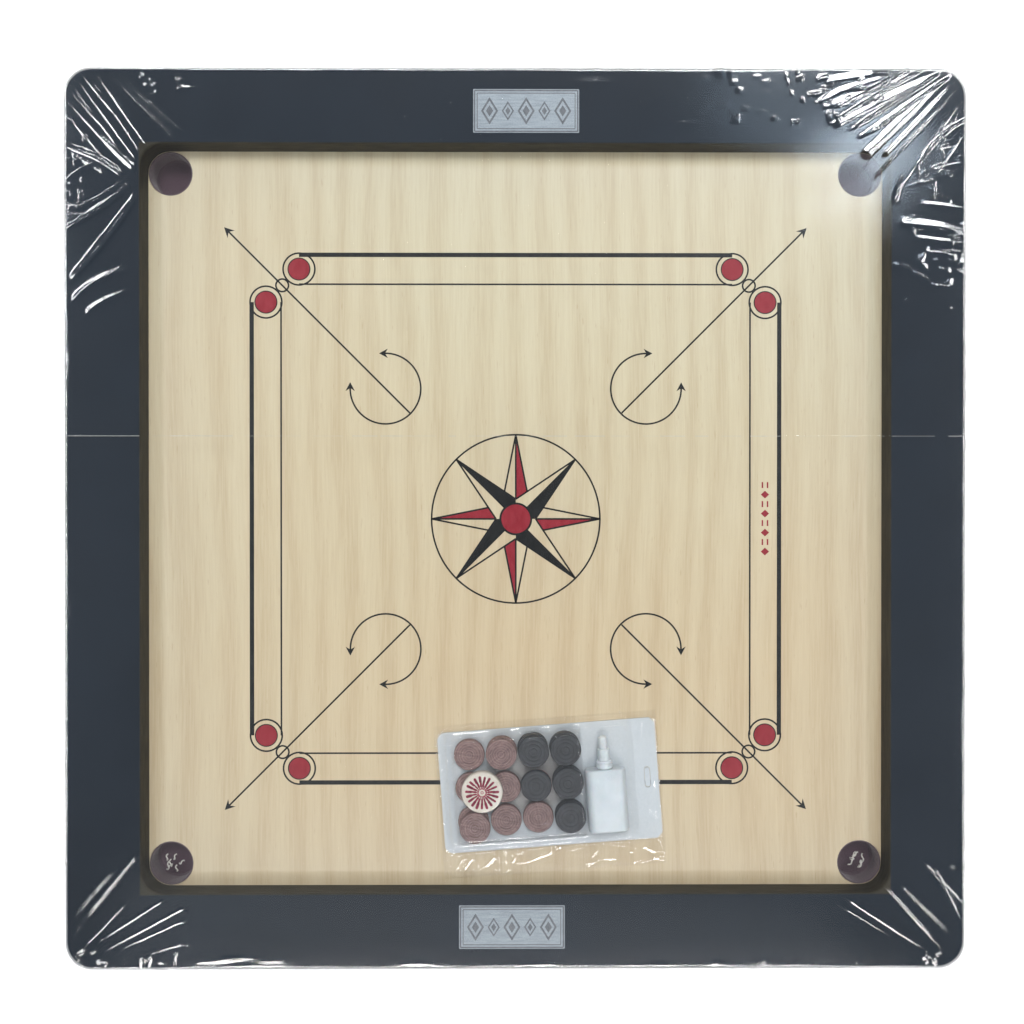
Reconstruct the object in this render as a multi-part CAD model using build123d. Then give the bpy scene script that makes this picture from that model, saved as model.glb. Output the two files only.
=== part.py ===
from build123d import *
import math
import os

# Carrom board in shrink wrap, with its bagged pack of coins, striker and powder bottle.
# Millimetres, +Z up. Origin: centre of the board, on the plane that the rails stand on.
# +X is east and +Y is north. The pack lies near the south rail.

os.makedirs("parts", exist_ok=True)

# ---- frame and playing panel ----
PLAY = 740.0                 # playing surface, rail wall to rail wall
RAIL_W = 74.0                # width of each rail
RAIL_H = 50.0                # height of each rail
BOARD = PLAY + 2 * RAIL_W    # overall width of the frame
PANEL_T = 12.0               # plywood thickness
PANEL_TOP = 28.0             # playing surface above the rails' underside
PANEL_LOW = PANEL_TOP - PANEL_T
LIP = 12.0                   # how far the panel runs under the rails
CORNER_R = 26.0              # outer corner of the frame, in plan
EDGE_R = 4.0                 # rounding along the outer top edge
INNER_EDGE_R = 2.0           # rounding along the inner top edge
FOOT_CHAMFER = 2.0           # chamfer along the outer bottom edge

# ---- pockets ----
POCKET_R = 22.25             # radius of each pocket hole
POCKET_AT = PLAY / 2 - POCKET_R
RING_R = 30.5                # outer radius of the ring under each hole
RING_T = 2.0
NET_R = 24.6                 # outer radius at the top of the net cup
NET_BASE_R = 21.0            # outer radius at its base
NET_WALL = 1.2
NET_LOW = 2.5                # underside of the net above the table

# ---- joinery and battens ----
TENON_LONG = 46.0            # along the mitre
TENON_WIDE = 34.0            # across the mitre
TENON_T = 8.0
TENON_AT = 407.0             # distance of the tenon's middle from both centre lines
TENON_Z = 39.0               # height of the tenon's middle
BATTEN_W = 40.0
BATTEN_AT = 190.0            # batten centre lines from the board's centre

# ---- screws: head radius, shank radius, length ----
PANEL_SCREW = (3.4, 1.7, 22.0)
BATTEN_SCREW = (3.6, 1.8, 23.0)
RING_SCREW = (2.2, 1.1, 9.0)
SCREW_EDGE_AT = PLAY / 2 + LIP / 2
SCREW_SPREAD = (-280.0, -168.0, -56.0, 56.0, 168.0, 280.0)

# ---- name plates ----
PLATE_L = 104.4
PLATE_W = 42.9
PLATE_T = 0.3
NORTH_PLATE_AT = (10.0, 402.0)
SOUTH_PLATE_AT = (-4.0, -403.0)

# ---- shrink film ----
FILM_T = 0.5
FILM_GAP = 0.4               # film to the rails' sides
FILM_OVER = 0.6              # film over the rails' tops
FILM_FOOT = 1.0              # lower edge of the film above the table

# ---- accessory pack, in its own frame turned on the board ----
PACK_AT = (34.4, -269.1)
PACK_TURN = 4.3
CARD_L = 220.0
CARD_W = 122.0
CARD_T = 1.0
CARD_CORNER_R = 8.0
CARD_CLIP = 5.0              # chamfer on the two corners by the hang slot
SLOT_AT = (99.0, 1.0)
SLOT_L = 21.0
SLOT_W = 6.0
BAG_T = 0.3
BAG_BOX = (-113.0, 112.0, -87.0, 68.0)
BAG_ROOF = (-101.0, 80.0, -54.0, 60.0)
BAG_ROOF_Z = 48.2
BAG_WALL = 0.4
GAP = 0.1                    # clearance between flat pieces that lift apart

# ---- blister over the coins ----
DOME_BOX = (-97.0, 34.7, -50.0, 57.0)
DOME_WALL = 0.5
DOME_TOP = 47.3
DOME_EDGE_R = 3.0
FLANGE = 6.0
FLANGE_T = 0.4

# ---- coins and striker ----
COIN_R = 15.5
COIN_T = 7.6
COIN_EDGE_R = 1.3
COIN_GROOVES = (4.2, 8.2, 12.0)
GROOVE_D = 0.45              # depth and half width of each turned groove
COLUMNS = (-78.5, -46.3, -14.0, 18.0)
ROWS = (38.5, 4.5, -29.5)
STRIKER_R = 20.65
STRIKER_T = 8.8
STRIKER_EDGE_R = 1.6
STRIKER_AT = (-68.0, 2.6)

# ---- powder bottle ----
BOTTLE_AT = (55.8, -15.8)
BOTTLE_W = 40.6
BOTTLE_D = 17.0
BOTTLE_H = 63.0
BOTTLE_WALL = 1.2
BOTTLE_EDGE_R = 2.0
NECK_R = 6.0
NECK_H = 8.0
NECK_BORE_R = 4.8
COLLAR_R = 8.0
COLLAR_H = 8.0
COLLAR_RIBS = (0.3, 0.75)    # rib heights, as parts of the collar's height
RIB_R = 0.6
SPOUT_R = 6.2
SPOUT_H = 11.6
NOZZLE_R = 2.2
NOZZLE_H = 8.4
NOZZLE_BORE_R = 0.9
TIP_R = 4.5
TIP_H = 12.4
FIT = 0.1                    # running clearance of the closure and the tip cap

BASE = (Align.CENTER, Align.CENTER, Align.MIN)
SIDES = {"north": 0, "west": 90, "south": 180, "east": 270}
CORNERS = {"north_east": (1, 1), "north_west": (-1, 1), "south_west": (-1, -1), "south_east": (1, -1)}


def save(shape, node):
    shape.label = node
    export_step(shape, f"parts/{node}.step")


def block(low, high):
    """A box between two opposite corners."""
    size = [b - a for a, b in zip(low, high)]
    return Pos(*low) * Box(*size, align=(Align.MIN, Align.MIN, Align.MIN))


def rounded_slab(side, radius, low, high):
    """A square slab with round corners in plan."""
    return Pos(0, 0, low) * extrude(RectangleRounded(side, side, radius), high - low)


def screw(head_r, shank_r, length):
    """A countersunk wood screw pointing up, its head at z = 0."""
    head_h = head_r - shank_r
    point_h = 2 * shank_r
    head = Cone(head_r, shank_r, head_h, align=BASE)
    shank = Cylinder(shank_r, length - point_h, align=BASE)
    point = Pos(0, 0, length - point_h) * Cone(shank_r, 0.2, point_h, align=BASE)
    return head + shank + point


def driver_cross(head_r):
    """The cross recess in a screw's head."""
    bar = Box(1.3 * head_r, 0.3 * head_r, 0.9 * head_r)
    return bar + Rot(0, 0, 90) * bar


def place(solid, spots):
    return [Pos(*spot) * solid for spot in spots]


def screw_group(kind, spots):
    """The screws with their recesses, and the plain bodies that cut their holes."""
    body = screw(*kind)
    finished = body - driver_cross(kind[0])
    return Compound(children=place(finished, spots)), place(body, spots)


# ---- where the screws go ----
def turned(x, y, degrees):
    a = math.radians(degrees)
    return x * math.cos(a) - y * math.sin(a), x * math.sin(a) + y * math.cos(a)


panel_screw_spots = [
    (*turned(along, SCREW_EDGE_AT, side), PANEL_LOW)
    for side in SIDES.values()
    for along in SCREW_SPREAD
]
batten_screw_spots = [
    (*turned(along, across, side), 0.0)
    for side in (0, 90)
    for across in (-BATTEN_AT, BATTEN_AT)
    for along in (-300.0, -95.0, 95.0, 300.0)
]
ring_screw_at = (POCKET_R + RING_R) / 2
ring_screw_spots = [
    (sx * POCKET_AT + dx * ring_screw_at, sy * POCKET_AT + dy * ring_screw_at, PANEL_LOW - RING_T)
    for sx, sy in CORNERS.values()
    for dx, dy in ((1, 0), (0, 1), (-1, 0), (0, -1))
]
panel_screws, panel_screw_bodies = screw_group(PANEL_SCREW, panel_screw_spots)
batten_screws, batten_screw_bodies = screw_group(BATTEN_SCREW, batten_screw_spots)
ring_screws, ring_screw_bodies = screw_group(RING_SCREW, ring_screw_spots)
save(panel_screws, "panel_screws")
save(batten_screws, "batten_screws")
save(ring_screws, "ring_screws")

# ---- playing panel ----
panel_side = PLAY + 2 * LIP
panel = Pos(0, 0, PANEL_LOW) * Box(panel_side, panel_side, PANEL_T, align=BASE)
pocket_cutter = Cylinder(POCKET_R, 4 * PANEL_T)
for sx, sy in CORNERS.values():
    panel -= Pos(sx * POCKET_AT, sy * POCKET_AT, PANEL_TOP) * pocket_cutter
panel -= panel_screw_bodies + batten_screw_bodies + ring_screw_bodies
save(panel, "playing_panel")

# ---- frame: one ring, mitred into four rails ----
ring = rounded_slab(BOARD, CORNER_R, 0, RAIL_H)
ring = fillet(ring.faces().sort_by(Axis.Z)[-1].edges(), EDGE_R)
ring = chamfer(ring.faces().sort_by(Axis.Z)[0].edges(), FOOT_CHAMFER)
well = rounded_slab(PLAY, POCKET_R, PANEL_TOP, RAIL_H)
ring -= well
inner_edges = ring.faces().sort_by(Axis.Z)[-1].inner_wires()[0].edges()
ring = fillet(inner_edges, INNER_EDGE_R)
ring -= Box(panel_side, panel_side, PANEL_TOP, align=BASE)
ring -= panel_screw_bodies

tenon = Box(TENON_LONG, TENON_WIDE, TENON_T)
tenons = {}
for corner, (sx, sy) in CORNERS.items():
    diagonal = math.degrees(math.atan2(sy, sx))
    tenons[corner] = Pos(sx * TENON_AT, sy * TENON_AT, TENON_Z) * Rot(0, 0, diagonal) * tenon
    save(tenons[corner], f"corner_tenon_{corner}")
ring -= list(tenons.values())

half = BOARD
mitre = extrude(make_face(Polyline((0, 0), (half, half), (-half, half), close=True)), RAIL_H)
for side, degrees in SIDES.items():
    save(ring & (Rot(0, 0, degrees) * mitre), f"rail_{side}")

# ---- battens, halved where they cross ----
batten = Box(panel_side, BATTEN_W, PANEL_LOW, align=BASE)
lap = Box(BATTEN_W, BATTEN_W, PANEL_LOW / 2, align=BASE)
for name, offset in (("north", BATTEN_AT), ("south", -BATTEN_AT)):
    along_x = Pos(0, offset, 0) * batten
    laps = [Pos(x, offset, PANEL_LOW / 2) * lap for x in (-BATTEN_AT, BATTEN_AT)]
    save(along_x - laps - batten_screw_bodies, f"batten_{name}")
for name, offset in (("east", BATTEN_AT), ("west", -BATTEN_AT)):
    along_y = Pos(offset, 0, 0) * Rot(0, 0, 90) * batten
    laps = [Pos(offset, y, 0) * lap for y in (-BATTEN_AT, BATTEN_AT)]
    save(along_y - laps - batten_screw_bodies, f"batten_{name}")

# ---- pocket rings and nets ----
pocket_ring = Cylinder(RING_R, RING_T, align=BASE) - Cylinder(POCKET_R, 3 * RING_T)
net_h = PANEL_LOW - RING_T - NET_LOW
net = Cone(NET_BASE_R, NET_R, net_h, align=BASE)
net -= Pos(0, 0, NET_WALL) * Cone(NET_BASE_R - NET_WALL, NET_R - NET_WALL, net_h, align=BASE)
for corner, (sx, sy) in CORNERS.items():
    under = Pos(sx * POCKET_AT, sy * POCKET_AT, 0)
    placed_ring = under * Pos(0, 0, PANEL_LOW - RING_T) * pocket_ring
    save(placed_ring - ring_screw_bodies, f"pocket_ring_{corner}")
    save(under * Pos(0, 0, NET_LOW) * net, f"pocket_net_{corner}")

# ---- name plates ----
plate = extrude(RectangleRounded(PLATE_L, PLATE_W, 1.0), PLATE_T)
save(Pos(*NORTH_PLATE_AT, RAIL_H) * plate, "name_plate_north")
save(Pos(*SOUTH_PLATE_AT, RAIL_H) * Rot(0, 0, 180) * plate, "name_plate_south")

# ---- shrink film: top and sides, open below ----
film_in = BOARD + 2 * FILM_GAP
film_out = film_in + 2 * FILM_T
film_roof = RAIL_H + FILM_OVER
film = rounded_slab(film_out, CORNER_R + FILM_GAP + FILM_T, FILM_FOOT, film_roof + FILM_T)
film = fillet(film.faces().sort_by(Axis.Z)[-1].edges(), EDGE_R + FILM_T)
hollow = rounded_slab(film_in, CORNER_R + FILM_GAP, FILM_FOOT, film_roof)
hollow = fillet(hollow.faces().sort_by(Axis.Z)[-1].edges(), EDGE_R)
save(film - hollow, "shrink_film")

# ---- accessory pack ----
pack = Pos(*PACK_AT, 0) * Rot(0, 0, PACK_TURN)
bag_low = PANEL_TOP
card_low = bag_low + BAG_T
card_top = card_low + CARD_T
layer_1 = card_top + GAP
layer_2 = layer_1 + COIN_T + GAP

card = Box(CARD_L, CARD_W, CARD_T, align=BASE)
card_corners = card.edges().filter_by(Axis.Z).sort_by(Axis.X)
card = fillet(card_corners[:2], CARD_CORNER_R)
card = chamfer(card.edges().filter_by(Axis.Z).sort_by(Axis.X)[-2:], CARD_CLIP)
slot = Pos(*SLOT_AT, 0) * extrude(Rot(0, 0, 90) * SlotOverall(SLOT_L, SLOT_W), 3 * CARD_T, both=True)
save(pack * Pos(0, 0, card_low) * (card - slot), "backing_card")

x0, x1, y0, y1 = BAG_BOX
save(pack * block((x0, y0, bag_low), (x1, y1, bag_low + BAG_T)), "bag_back")


def tent(inset, low, roof):
    """A low tent over the pack: the bag's outline at the foot, a smaller flat roof."""
    outlines = []
    for (left, right, front, back), z in ((BAG_BOX, low), (BAG_ROOF, roof)):
        size = (right - left - 2 * inset, back - front - 2 * inset)
        middle = ((left + right) / 2, (front + back) / 2, z)
        outlines.append(Pos(*middle) * Rectangle(*size))
    return loft(outlines)


bag_front_low = bag_low + BAG_T + GAP
bag_skin = tent(0, bag_front_low, BAG_ROOF_Z) - tent(BAG_WALL, bag_front_low, BAG_ROOF_Z - BAG_WALL)
save(pack * bag_skin, "bag_front")

dx0, dx1, dy0, dy1 = DOME_BOX
dome = block((dx0, dy0, layer_1), (dx1, dy1, DOME_TOP))
dome = fillet(dome.edges().filter_by(Axis.Z) + dome.faces().sort_by(Axis.Z)[-1].edges(), DOME_EDGE_R)
dome_room = block(
    (dx0 + DOME_WALL, dy0 + DOME_WALL, layer_1),
    (dx1 - DOME_WALL, dy1 - DOME_WALL, DOME_TOP - DOME_WALL),
)
room_edges = dome_room.edges().filter_by(Axis.Z) + dome_room.faces().sort_by(Axis.Z)[-1].edges()
dome_room = fillet(room_edges, DOME_EDGE_R - DOME_WALL)
flange = block((dx0 - FLANGE, dy0 - FLANGE, layer_1), (dx1, dy1 + FLANGE / 2, layer_1 + FLANGE_T))
save(pack * (dome + flange - dome_room), "coin_blister")

# ---- coins: places by column, row and layer ----
coin = Cylinder(COIN_R, COIN_T, align=BASE)
coin = fillet(coin.edges(), COIN_EDGE_R)
for groove in COIN_GROOVES:
    for face_z, inward in ((0, 1), (COIN_T, -1)):
        edges = ((groove - GROOVE_D, face_z), (groove + GROOVE_D, face_z))
        notch = Polygon(*edges, (groove, face_z + inward * GROOVE_D), align=None)
        coin -= revolve(Plane.XZ * notch, Axis.Z)

# Each spot: column, row, layer, and how far the coin has slid east and north.
brown_spots = [
    (0, 0, 1, 0.0, 0.0), (1, 0, 1, 0.6, 0.8), (1, 0, 2, 0.0, 0.0),
    (0, 1, 1, -0.8, 0.6), (1, 1, 1, 1.6, -1.0),
    (0, 2, 1, -0.6, 1.0), (0, 2, 2, 0.6, -3.4),
    (1, 2, 1, 0.0, 0.0), (2, 2, 1, 0.0, 0.4),
]
black_spots = [
    (2, 0, 1, -0.4, 2.0), (2, 0, 2, 0.0, 0.0), (3, 0, 1, -0.4, 0.8), (3, 0, 2, 0.0, -0.6),
    (2, 1, 2, 0.0, 0.0), (3, 1, 1, 0.0, 0.8), (3, 1, 2, 0.0, 0.0),
    (3, 2, 1, 0.0, 0.0), (3, 2, 2, 0.0, 0.0),
]
queen_spots = [(2, 1, 1, 0.4, -2.0)]


def coin_place(column, row, layer, dx, dy):
    z = layer_1 if layer == 1 else layer_2
    return pack * Pos(COLUMNS[column] + dx, ROWS[row] + dy, z)


for colour, spots in (("brown", brown_spots), ("black", black_spots)):
    for number, spot in enumerate(spots, start=1):
        save(coin_place(*spot) * coin, f"coin_{colour}_{number}")
save(coin_place(*queen_spots[0]) * coin, "coin_queen")

striker = fillet(Cylinder(STRIKER_R, STRIKER_T, align=BASE).edges(), STRIKER_EDGE_R)
save(pack * Pos(*STRIKER_AT, layer_2) * striker, "striker")

# ---- powder bottle, lying on its flat side with its spout to the north ----
lying = pack * Pos(*BOTTLE_AT, layer_1 + BOTTLE_D / 2) * Rot(-90, 0, 0)
foot = -BOTTLE_H / 2
shoulder = BOTTLE_H / 2


def flat_oval(inset, low, high, radius):
    width = BOTTLE_W - 2 * inset
    depth = BOTTLE_D - 2 * inset
    outline = RectangleRounded(width, depth, 0.49 * depth)
    form = Pos(0, 0, low) * extrude(outline, high - low)
    ends = form.faces().sort_by(Axis.Z)
    return fillet(ends[0].edges() + ends[-1].edges(), radius)


shell = flat_oval(0, foot, shoulder, BOTTLE_EDGE_R)
shell += Pos(0, 0, shoulder) * Cylinder(NECK_R, NECK_H, align=BASE)
powder = flat_oval(BOTTLE_WALL, foot + BOTTLE_WALL, shoulder - BOTTLE_WALL, BOTTLE_EDGE_R - BOTTLE_WALL)
powder += Pos(0, 0, shoulder - 2 * BOTTLE_WALL) * Cylinder(
    NECK_BORE_R, NECK_H + 2 * BOTTLE_WALL, align=BASE
)
save(lying * (shell - powder), "bottle_body")
save(lying * powder, "powder_fill")

collar_low = shoulder + 0.4
closure = Pos(0, 0, collar_low) * fillet(Cylinder(COLLAR_R, COLLAR_H, align=BASE).edges(), 0.8)
for rib in COLLAR_RIBS:
    closure += Pos(0, 0, collar_low + rib * COLLAR_H) * Torus(COLLAR_R - GAP, RIB_R)
spout_low = collar_low + COLLAR_H
closure += Pos(0, 0, spout_low) * Cylinder(SPOUT_R, SPOUT_H, align=BASE)
spout_top = spout_low + SPOUT_H
closure = fillet(closure.edges().group_by(Axis.Z)[-1], 1.0)
closure += Pos(0, 0, spout_top) * Cylinder(NOZZLE_R, NOZZLE_H, align=BASE)
closure -= Pos(0, 0, collar_low) * Cylinder(NECK_R + FIT, NECK_H + 0.4, align=BASE)
closure -= Pos(0, 0, collar_low) * Cylinder(NOZZLE_BORE_R, 60, align=BASE)
save(lying * closure, "bottle_closure")

cap_low = spout_top + GAP
tip_cap = Pos(0, 0, cap_low) * Cylinder(TIP_R, TIP_H, align=BASE)
tip_cap = fillet(tip_cap.faces().sort_by(Axis.Z)[-1].edges(), 3.2)
tip_cap -= Pos(0, 0, cap_low) * Cylinder(NOZZLE_R + FIT, NOZZLE_H + 0.4, align=BASE)
save(lying * tip_cap, "tip_cap")
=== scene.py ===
import math
import random

import bpy
import numpy as np
from mathutils import Matrix, Vector


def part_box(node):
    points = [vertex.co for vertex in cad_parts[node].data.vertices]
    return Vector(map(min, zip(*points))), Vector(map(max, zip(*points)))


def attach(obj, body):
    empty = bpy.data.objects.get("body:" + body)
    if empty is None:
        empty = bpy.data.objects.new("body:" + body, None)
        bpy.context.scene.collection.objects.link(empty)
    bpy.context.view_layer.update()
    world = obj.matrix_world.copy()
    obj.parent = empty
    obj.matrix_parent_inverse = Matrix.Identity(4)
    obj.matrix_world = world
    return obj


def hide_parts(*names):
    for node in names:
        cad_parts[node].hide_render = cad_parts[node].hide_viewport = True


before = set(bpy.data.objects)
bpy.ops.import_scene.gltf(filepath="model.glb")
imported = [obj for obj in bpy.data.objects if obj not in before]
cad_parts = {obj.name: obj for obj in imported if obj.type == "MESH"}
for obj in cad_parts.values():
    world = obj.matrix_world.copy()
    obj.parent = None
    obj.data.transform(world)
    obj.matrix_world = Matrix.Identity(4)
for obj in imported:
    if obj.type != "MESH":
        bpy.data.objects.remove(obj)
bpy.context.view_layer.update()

MM = 0.001

# ---- places, from the frame ----
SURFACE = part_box("playing_panel")[1].z
RAIL_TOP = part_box("rail_east")[1].z
BOARD_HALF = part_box("rail_east")[1].x
FILM_LOW, FILM_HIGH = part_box("shrink_film")
PLAY_HALF = 370 * MM
POCKET_R = 22.25 * MM
POCKET_AT = 347.75 * MM
CORNERS = {"north_east": (1, 1), "north_west": (-1, 1), "south_west": (-1, -1), "south_east": (1, -1)}

PACK_TURN = math.radians(4.3)
BAG_BOX = (-113 * MM, 112 * MM, -87 * MM, 68 * MM)


def middle(node):
    low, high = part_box(node)
    return (low + high) / 2


def pack_matrix():
    """Turns and moves the accessory pack's own frame onto the board."""
    turn = Matrix.Rotation(PACK_TURN, 4, "Z")
    left, right, front, back = BAG_BOX
    bag_middle = turn @ Vector(((left + right) / 2, (front + back) / 2, 0))
    place = middle("bag_back") - bag_middle
    return Matrix.Translation((place.x, place.y, 0)) @ turn


PACK = pack_matrix()


# ---------------------------------------------------------------- node graphs
def material(name, paint, *given):
    """A new material, whose shader is what paint(tree, *given) returns."""
    made = bpy.data.materials.new(name)
    made.use_nodes = True
    tree = made.node_tree
    tree.nodes.clear()
    shader = paint(tree, *given)
    output = tree.nodes.new("ShaderNodeOutputMaterial")
    tree.links.new(shader, output.inputs["Surface"])
    return made


def add(tree, kind, inputs=None, **settings):
    """Adds a node, sets its properties, and sets or links its inputs."""
    node = tree.nodes.new("ShaderNode" + kind)
    for key, value in settings.items():
        setattr(node, key, value)
    for key, value in (inputs or {}).items():
        if isinstance(value, bpy.types.NodeSocket):
            tree.links.new(value, node.inputs[key])
        else:
            node.inputs[key].default_value = value
    return node


def colour(rgb):
    return (*rgb, 1.0)


def mapped(tree, scale=(1, 1, 1), rotation=(0, 0, 0), place=None):
    """A place, or else the piece's own coordinates in metres, scaled and turned."""
    if place is None:
        place = add(tree, "TexCoord").outputs["Object"]
    inputs = {"Vector": place, "Scale": scale, "Rotation": rotation}
    return add(tree, "Mapping", inputs).outputs["Vector"]


def noise(tree, vector, scale, detail=3.0, roughness=0.5, distortion=0.0):
    inputs = {"Vector": vector, "Scale": scale, "Detail": detail, "Roughness": roughness}
    inputs["Distortion"] = distortion
    return add(tree, "TexNoise", inputs).outputs["Fac"]


def ramp(tree, factor, *stops):
    """A colour ramp from (position, rgb) stops."""
    node = add(tree, "ValToRGB", {"Fac": factor})
    elements = node.color_ramp.elements
    while len(elements) < len(stops):
        elements.new(0.5)
    for element, (position, rgb) in zip(elements, stops):
        element.position = position
        element.color = colour(rgb)
    return node.outputs["Color"]


def levels(tree, value, low, high, to_low=0.0, to_high=1.0):
    inputs = {"Value": value, "From Min": low, "From Max": high, "To Min": to_low, "To Max": to_high}
    return add(tree, "MapRange", inputs, clamp=True).outputs["Result"]


def spread(tree, value, low, high):
    """Stretches the range that a noise mostly keeps to over low to high."""
    return levels(tree, value, 0.3, 0.7, low, high)


def calc(tree, operation, first, second=0.0):
    return add(tree, "Math", {0: first, 1: second}, operation=operation).outputs[0]


def blend(tree, *parts):
    """The sum of (value, weight) parts."""
    total = calc(tree, "MULTIPLY", *parts[0])
    for value, weight in parts[1:]:
        total = calc(tree, "ADD", total, calc(tree, "MULTIPLY", value, weight))
    return total


def vector_calc(tree, operation, first, second):
    return add(tree, "VectorMath", {0: first, 1: second}, operation=operation).outputs[0]


def length_of(tree, vector):
    return add(tree, "VectorMath", {0: vector}, operation="LENGTH").outputs["Value"]


def mix(tree, factor, first, second, blend_type="MIX"):
    inputs = {0: factor, 6: first, 7: second}
    return add(tree, "Mix", inputs, data_type="RGBA", blend_type=blend_type).outputs[2]


def lay_colour(tree, base, mask, strength, rgb):
    """Lays a colour over the base where the mask is white, at part strength."""
    return mix(tree, calc(tree, "MULTIPLY", mask, strength), base, colour(rgb))


def bump(tree, height, distance, strength=1.0):
    inputs = {"Height": height, "Distance": distance, "Strength": strength}
    return add(tree, "Bump", inputs).outputs["Normal"]


def surface(tree, base, roughness, normal, more=None):
    inputs = {"Base Color": base, "Roughness": roughness, "Normal": normal, **(more or {})}
    return add(tree, "BsdfPrincipled", inputs).outputs["BSDF"]


# ---------------------------------------------------------------- materials
def rail_paint(tree):
    """Dark blue-grey satin paint with pale specks; painted bounce light from the birch makes the rails' inner
    walls browner.
    """
    place = mapped(tree)
    axes = add(tree, "SeparateXYZ", {"Vector": place}).outputs
    cloud = noise(tree, place, 9, 3)
    base = ramp(tree, cloud, (0.3, (0.013, 0.020, 0.031)), (0.7, (0.018, 0.027, 0.041)))
    speck = levels(tree, noise(tree, place, 900, 2), 0.66, 0.74)
    base = lay_colour(tree, base, speck, 0.35, (0.10, 0.11, 0.12))
    reach = calc(tree, "MAXIMUM", calc(tree, "ABSOLUTE", axes["X"]), calc(tree, "ABSOLUTE", axes["Y"]))
    wall = levels(tree, reach, PLAY_HALF + 1.6 * MM, PLAY_HALF + 0.4 * MM)
    # painted bounce light: the mottled brown on the inner walls stands in for light thrown back onto them
    # from the birch, not a stain
    stained = noise(tree, mapped(tree, (40, 40, 260)), 1, 3)
    brown = ramp(tree, stained, (0.3, (0.034, 0.031, 0.022)), (0.7, (0.058, 0.052, 0.038)))
    base = mix(tree, wall, base, brown)
    orange_peel = noise(tree, place, 420, 2)
    grain = noise(tree, mapped(tree, (90, 90, 90)), 1, 2, 0.5)
    relief = calc(tree, "ADD", orange_peel, calc(tree, "MULTIPLY", grain, 0.6))
    normal = bump(tree, relief, 0.03 * MM, 0.35)
    return surface(tree, base, spread(tree, cloud, 0.36, 0.48), normal, {"Specular IOR Level": 0.03})


def birch_ply(tree):
    """Pale lacquered birch, its grain running north to south, with faint figure and dark pores."""
    drift = add(tree, "TexNoise", {"Vector": mapped(tree), "Scale": 2.2, "Detail": 2.0}).outputs["Color"]
    wander = add(tree, "VectorMath", {0: drift, "Scale": 0.02}, operation="SCALE").outputs[0]
    place = vector_calc(tree, "ADD", mapped(tree), wander)
    fibre = noise(tree, mapped(tree, (620, 22, 40), place=place), 1, 3, 0.55)
    band = noise(tree, mapped(tree, (70, 2.6, 8), place=place), 1, 4, 0.55)
    figure = add(tree, "TexWave", {
        "Vector": mapped(tree, (9, 1.5, 1), place=place), "Scale": 1.1, "Distortion": 9.0, "Detail": 2.0,
        "Detail Scale": 0.7,
    }, bands_direction="X").outputs["Fac"]
    base = ramp(
        tree, blend(tree, (fibre, 0.60), (band, 0.18), (figure, 0.22)),
        (0.30, (0.540, 0.475, 0.335)), (0.50, (0.595, 0.545, 0.400)), (0.70, (0.630, 0.590, 0.445)),
    )
    patch = levels(tree, noise(tree, mapped(tree, (2.6, 1.6, 1)), 1, 2), 0.42, 0.68)
    south = levels(tree, add(tree, "SeparateXYZ", {"Vector": mapped(tree)}).outputs["Y"], 0.25, -0.15)
    pinkish = mix(tree, 1.0, base, colour((1.0, 0.90, 0.82)), "MULTIPLY")
    base = mix(tree, blend(tree, (patch, 0.35), (south, 0.65)), base, pinkish)
    pore = levels(tree, noise(tree, mapped(tree, (900, 70, 40), place=place), 1, 1), 0.70, 0.78)
    base = lay_colour(tree, base, pore, 0.30, (0.40, 0.27, 0.15))
    lacquer = {"Specular IOR Level": 0.25, "Coat Weight": 0.06, "Coat Roughness": 0.2}
    normal = bump(tree, fibre, 0.05 * MM, 0.4)
    return surface(tree, base, spread(tree, fibre, 0.34, 0.44), normal, lacquer)


def ink(tree, low, high):
    """Screen-printed ink, a little mottled where the wood shows through."""
    mottle = noise(tree, mapped(tree, (1, 0.35, 1)), 260, 5, 0.7)
    base = ramp(tree, mottle, (0.35, low), (0.70, high))
    normal = bump(tree, mottle, 0.02 * MM, 0.4)
    return surface(tree, base, spread(tree, mottle, 0.30, 0.45), normal, {"Specular IOR Level": 0.15})


def clear_plastic(tree, gloss, haze, crease_scale, crease_height):
    """Thin clear plastic: mostly open, with a Fresnel shine and a little milky haze."""
    place = mapped(tree)
    crease = add(tree, "Attribute", attribute_name="crinkle").outputs["Fac"]
    fine = noise(tree, place, crease_scale, 1, 0.4, 0.6)
    normal = bump(tree, calc(tree, "MULTIPLY", fine, crease), crease_height)
    shine = add(tree, "Fresnel", {"IOR": 1.5, "Normal": normal}).outputs["Fac"]
    shine = levels(tree, shine, 0.03, 1.0, *gloss)
    through = add(tree, "BsdfTransparent", {"Color": colour((1, 1, 1))}).outputs["BSDF"]
    mirror = add(tree, "BsdfGlossy", {
        "Color": colour((1, 1, 1)), "Roughness": 0.15, "Normal": normal,
    }, distribution="BECKMANN").outputs["BSDF"]
    milk = add(tree, "BsdfDiffuse", {"Color": colour((0.85, 0.88, 0.92)), "Normal": normal}).outputs["BSDF"]
    cloud = levels(tree, noise(tree, place, 14, 3), 0.35, 0.75, 0.4 * haze, 1.4 * haze)
    body = add(tree, "MixShader", {"Fac": cloud, 1: through, 2: milk}).outputs[0]
    return add(tree, "MixShader", {"Fac": shine, 1: body, 2: mirror}).outputs[0]


def brushed_metal(tree, low, high, roughness, direction):
    """Metal with fine brush lines, stretched along one direction."""
    brushed = noise(tree, mapped(tree, direction), 1, 4, 0.6)
    cloud = noise(tree, mapped(tree), 60, 3)
    base = ramp(tree, blend(tree, (brushed, 0.7), (cloud, 0.3)), (0.3, low), (0.7, high))
    rough = spread(tree, brushed, roughness - 0.06, roughness + 0.08)
    return surface(tree, base, rough, bump(tree, brushed, 0.03 * MM, 0.5), {"Metallic": 1.0})


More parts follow.
